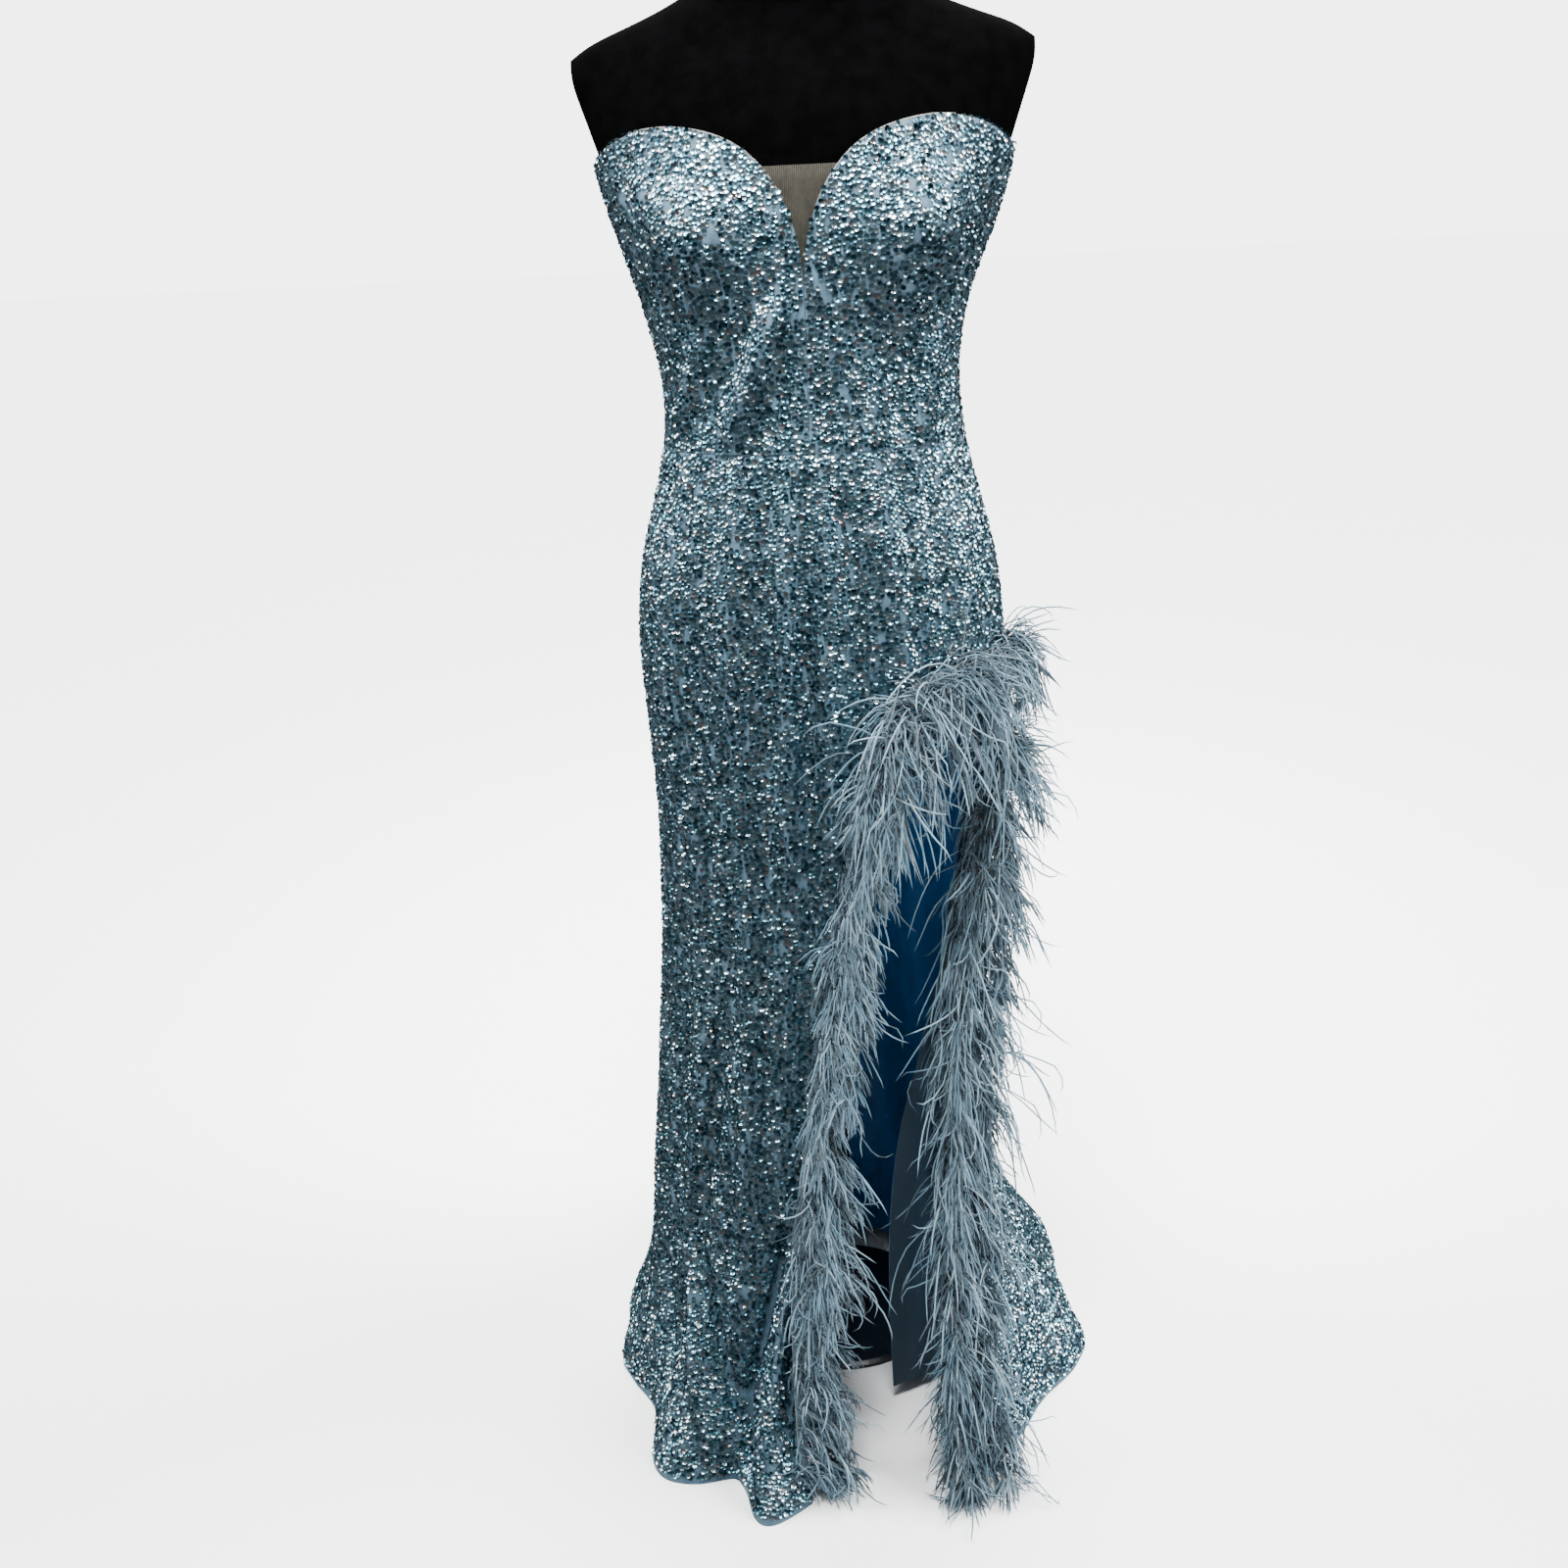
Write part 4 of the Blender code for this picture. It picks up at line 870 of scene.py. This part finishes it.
for plume in PLUMES:
    down = merged_copy(f"{plume.node}_down", plume.node)
    spines = lock_spines(plume.node)
    rounded(down, 1)
    down.data.materials.append(down_finish)

    chance = random.Random(plume.seed)
    cloth_tree = surface_of(cloths[plume.cloth])
    carriers = len(spines) + HEAD_LOCKS + FOOT_LOCKS
    points = []
    faces = []
    finishes = []
    for layer in LAYERS:
        for clump in range(layer.clumps):
            n = (clump * carriers) // layer.clumps - HEAD_LOCKS
            tuft = n < plume.tuft and chance.random() < TUFT_PART
            spine = spines[min(max(n, 0), len(spines) - 1)]
            reach = chance.random() * (TUFT_SHARE if tuft else ROOT_SHARE) * (len(spine) - 1.0)
            k = int(reach)
            root = spine[k].lerp(spine[k + 1], reach - k)
            start = (spine[k + 1] - spine[k]).normalized() + plume.sway
            start = (start + Vector([chance.gauss(0.0, sigma) for sigma in SPREAD])).normalized()
            if tuft:
                start = (start + plume.lift).normalized()
            length = chance.uniform(*layer.length)
            length = plume.reach * length * (spine[3] - spine[0]).length / LOCK_LENGTH
            droop = chance.uniform(*layer.droop)
            tint = chance.choices(range(len(TINTS)), layer.shares)[0]
            for _ in range(layer.strands):
                line = barb_line(layer, root, start, length, droop, cloth_tree)
                add_barb(points, faces, line, layer.radius)
                kind = tint if chance.random() < TINT_KEPT else chance.randrange(len(TINTS))
                finishes.extend([kind] * (len(faces) - len(finishes)))
    mesh = bpy.data.meshes.new(f"{plume.node}_barbs")
    mesh.from_pydata(points, [], faces)
    for finish in tints:
        mesh.materials.append(finish)
    mesh.polygons.foreach_set("material_index", finishes)
    mesh.shade_smooth()
    barbs = bpy.data.objects.new(f"{plume.node}_barbs", mesh)
    bpy.context.scene.collection.objects.link(barbs)
    for piece in (down, barbs):
        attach(piece, "dress_and_form")
    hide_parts(plume.node)


# ZIP
# A closed zip up the centre back: a woven tape, a row of coil teeth, a polished slider and its pull tab,
# which hangs from the slider's bridge.
TOOTH_PITCH = 0.0016
TOOTH_SIZE = (0.0030, 0.0008, 0.0010)
TOOTH_BEVEL = 0.00025
TOOTH_ASIDE = 0.0004      # each tooth stands this far to its own side
TEETH_FOOT = 0.003        # above the tape's lower end
SLIDER_CLEAR = 0.001
weave, tree, shader = new_finish("zip_woven_tape", 0.8)
mottle(tree, shader, 300.0, (0.022, 0.050, 0.068), (0.040, 0.080, 0.105))
grain(tree, shader, 2600.0, 0.5, 0.0002, (1.0, 1.0, 0.5))
polished, tree, shader = new_finish("zip_polished_metal", 0.2, 1.0)
mottle(tree, shader, 400.0, (0.55, 0.58, 0.62), (0.75, 0.78, 0.82))
grain(tree, shader, 1200.0, 0.1, 0.0001)
for node, finish in (("zip_tape", weave), ("zip_slider", polished), ("zip_pull_tab", polished)):
    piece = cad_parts[node]
    piece.data.materials.clear()
    piece.data.materials.append(finish)
low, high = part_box("zip_tape")
slider_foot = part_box("zip_slider")[0].z
tape_tree = surface_of(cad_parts["zip_tape"])
bpy.ops.mesh.primitive_cube_add(size=1.0, location=(0.0, 0.0, 0.0))
tooth = bpy.context.object
tooth.scale = TOOTH_SIZE
bpy.ops.object.transform_apply(location=False, rotation=False, scale=True)
bevel = tooth.modifiers.new("bevel", "BEVEL")
bevel.width = TOOTH_BEVEL
bevel.segments = 1
bpy.ops.object.modifier_apply(modifier="bevel")
teeth = []
z = low.z + TEETH_FOOT
side = 1.0
while z < slider_foot - SLIDER_CLEAR:
    hit = tape_tree.ray_cast(Vector((0.0, high.y + RAY_START, z)), Vector((0.0, -1.0, 0.0)))
    if hit[0] is not None:
        copy = bpy.data.objects.new("tooth", tooth.data.copy())
        bpy.context.scene.collection.objects.link(copy)
        copy.data.transform(Matrix.Translation((side * TOOTH_ASIDE, hit[0].y + TOOTH_SIZE[1] * 0.5, z)))
        teeth.append(copy)
    z += TOOTH_PITCH
    side = -side
bpy.data.objects.remove(tooth)
bpy.ops.object.select_all(action="DESELECT")
for copy in teeth:
    copy.select_set(True)
bpy.context.view_layer.objects.active = teeth[0]
bpy.ops.object.join()
zip_teeth = bpy.context.object
zip_teeth.name = "zip_teeth"
nylon, tree, shader = new_finish("zip_nylon_teeth", 0.35)
mottle(tree, shader, 250.0, (0.055, 0.100, 0.130), (0.090, 0.150, 0.190))
zip_teeth.data.materials.append(nylon)
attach(zip_teeth, "dress_and_form")
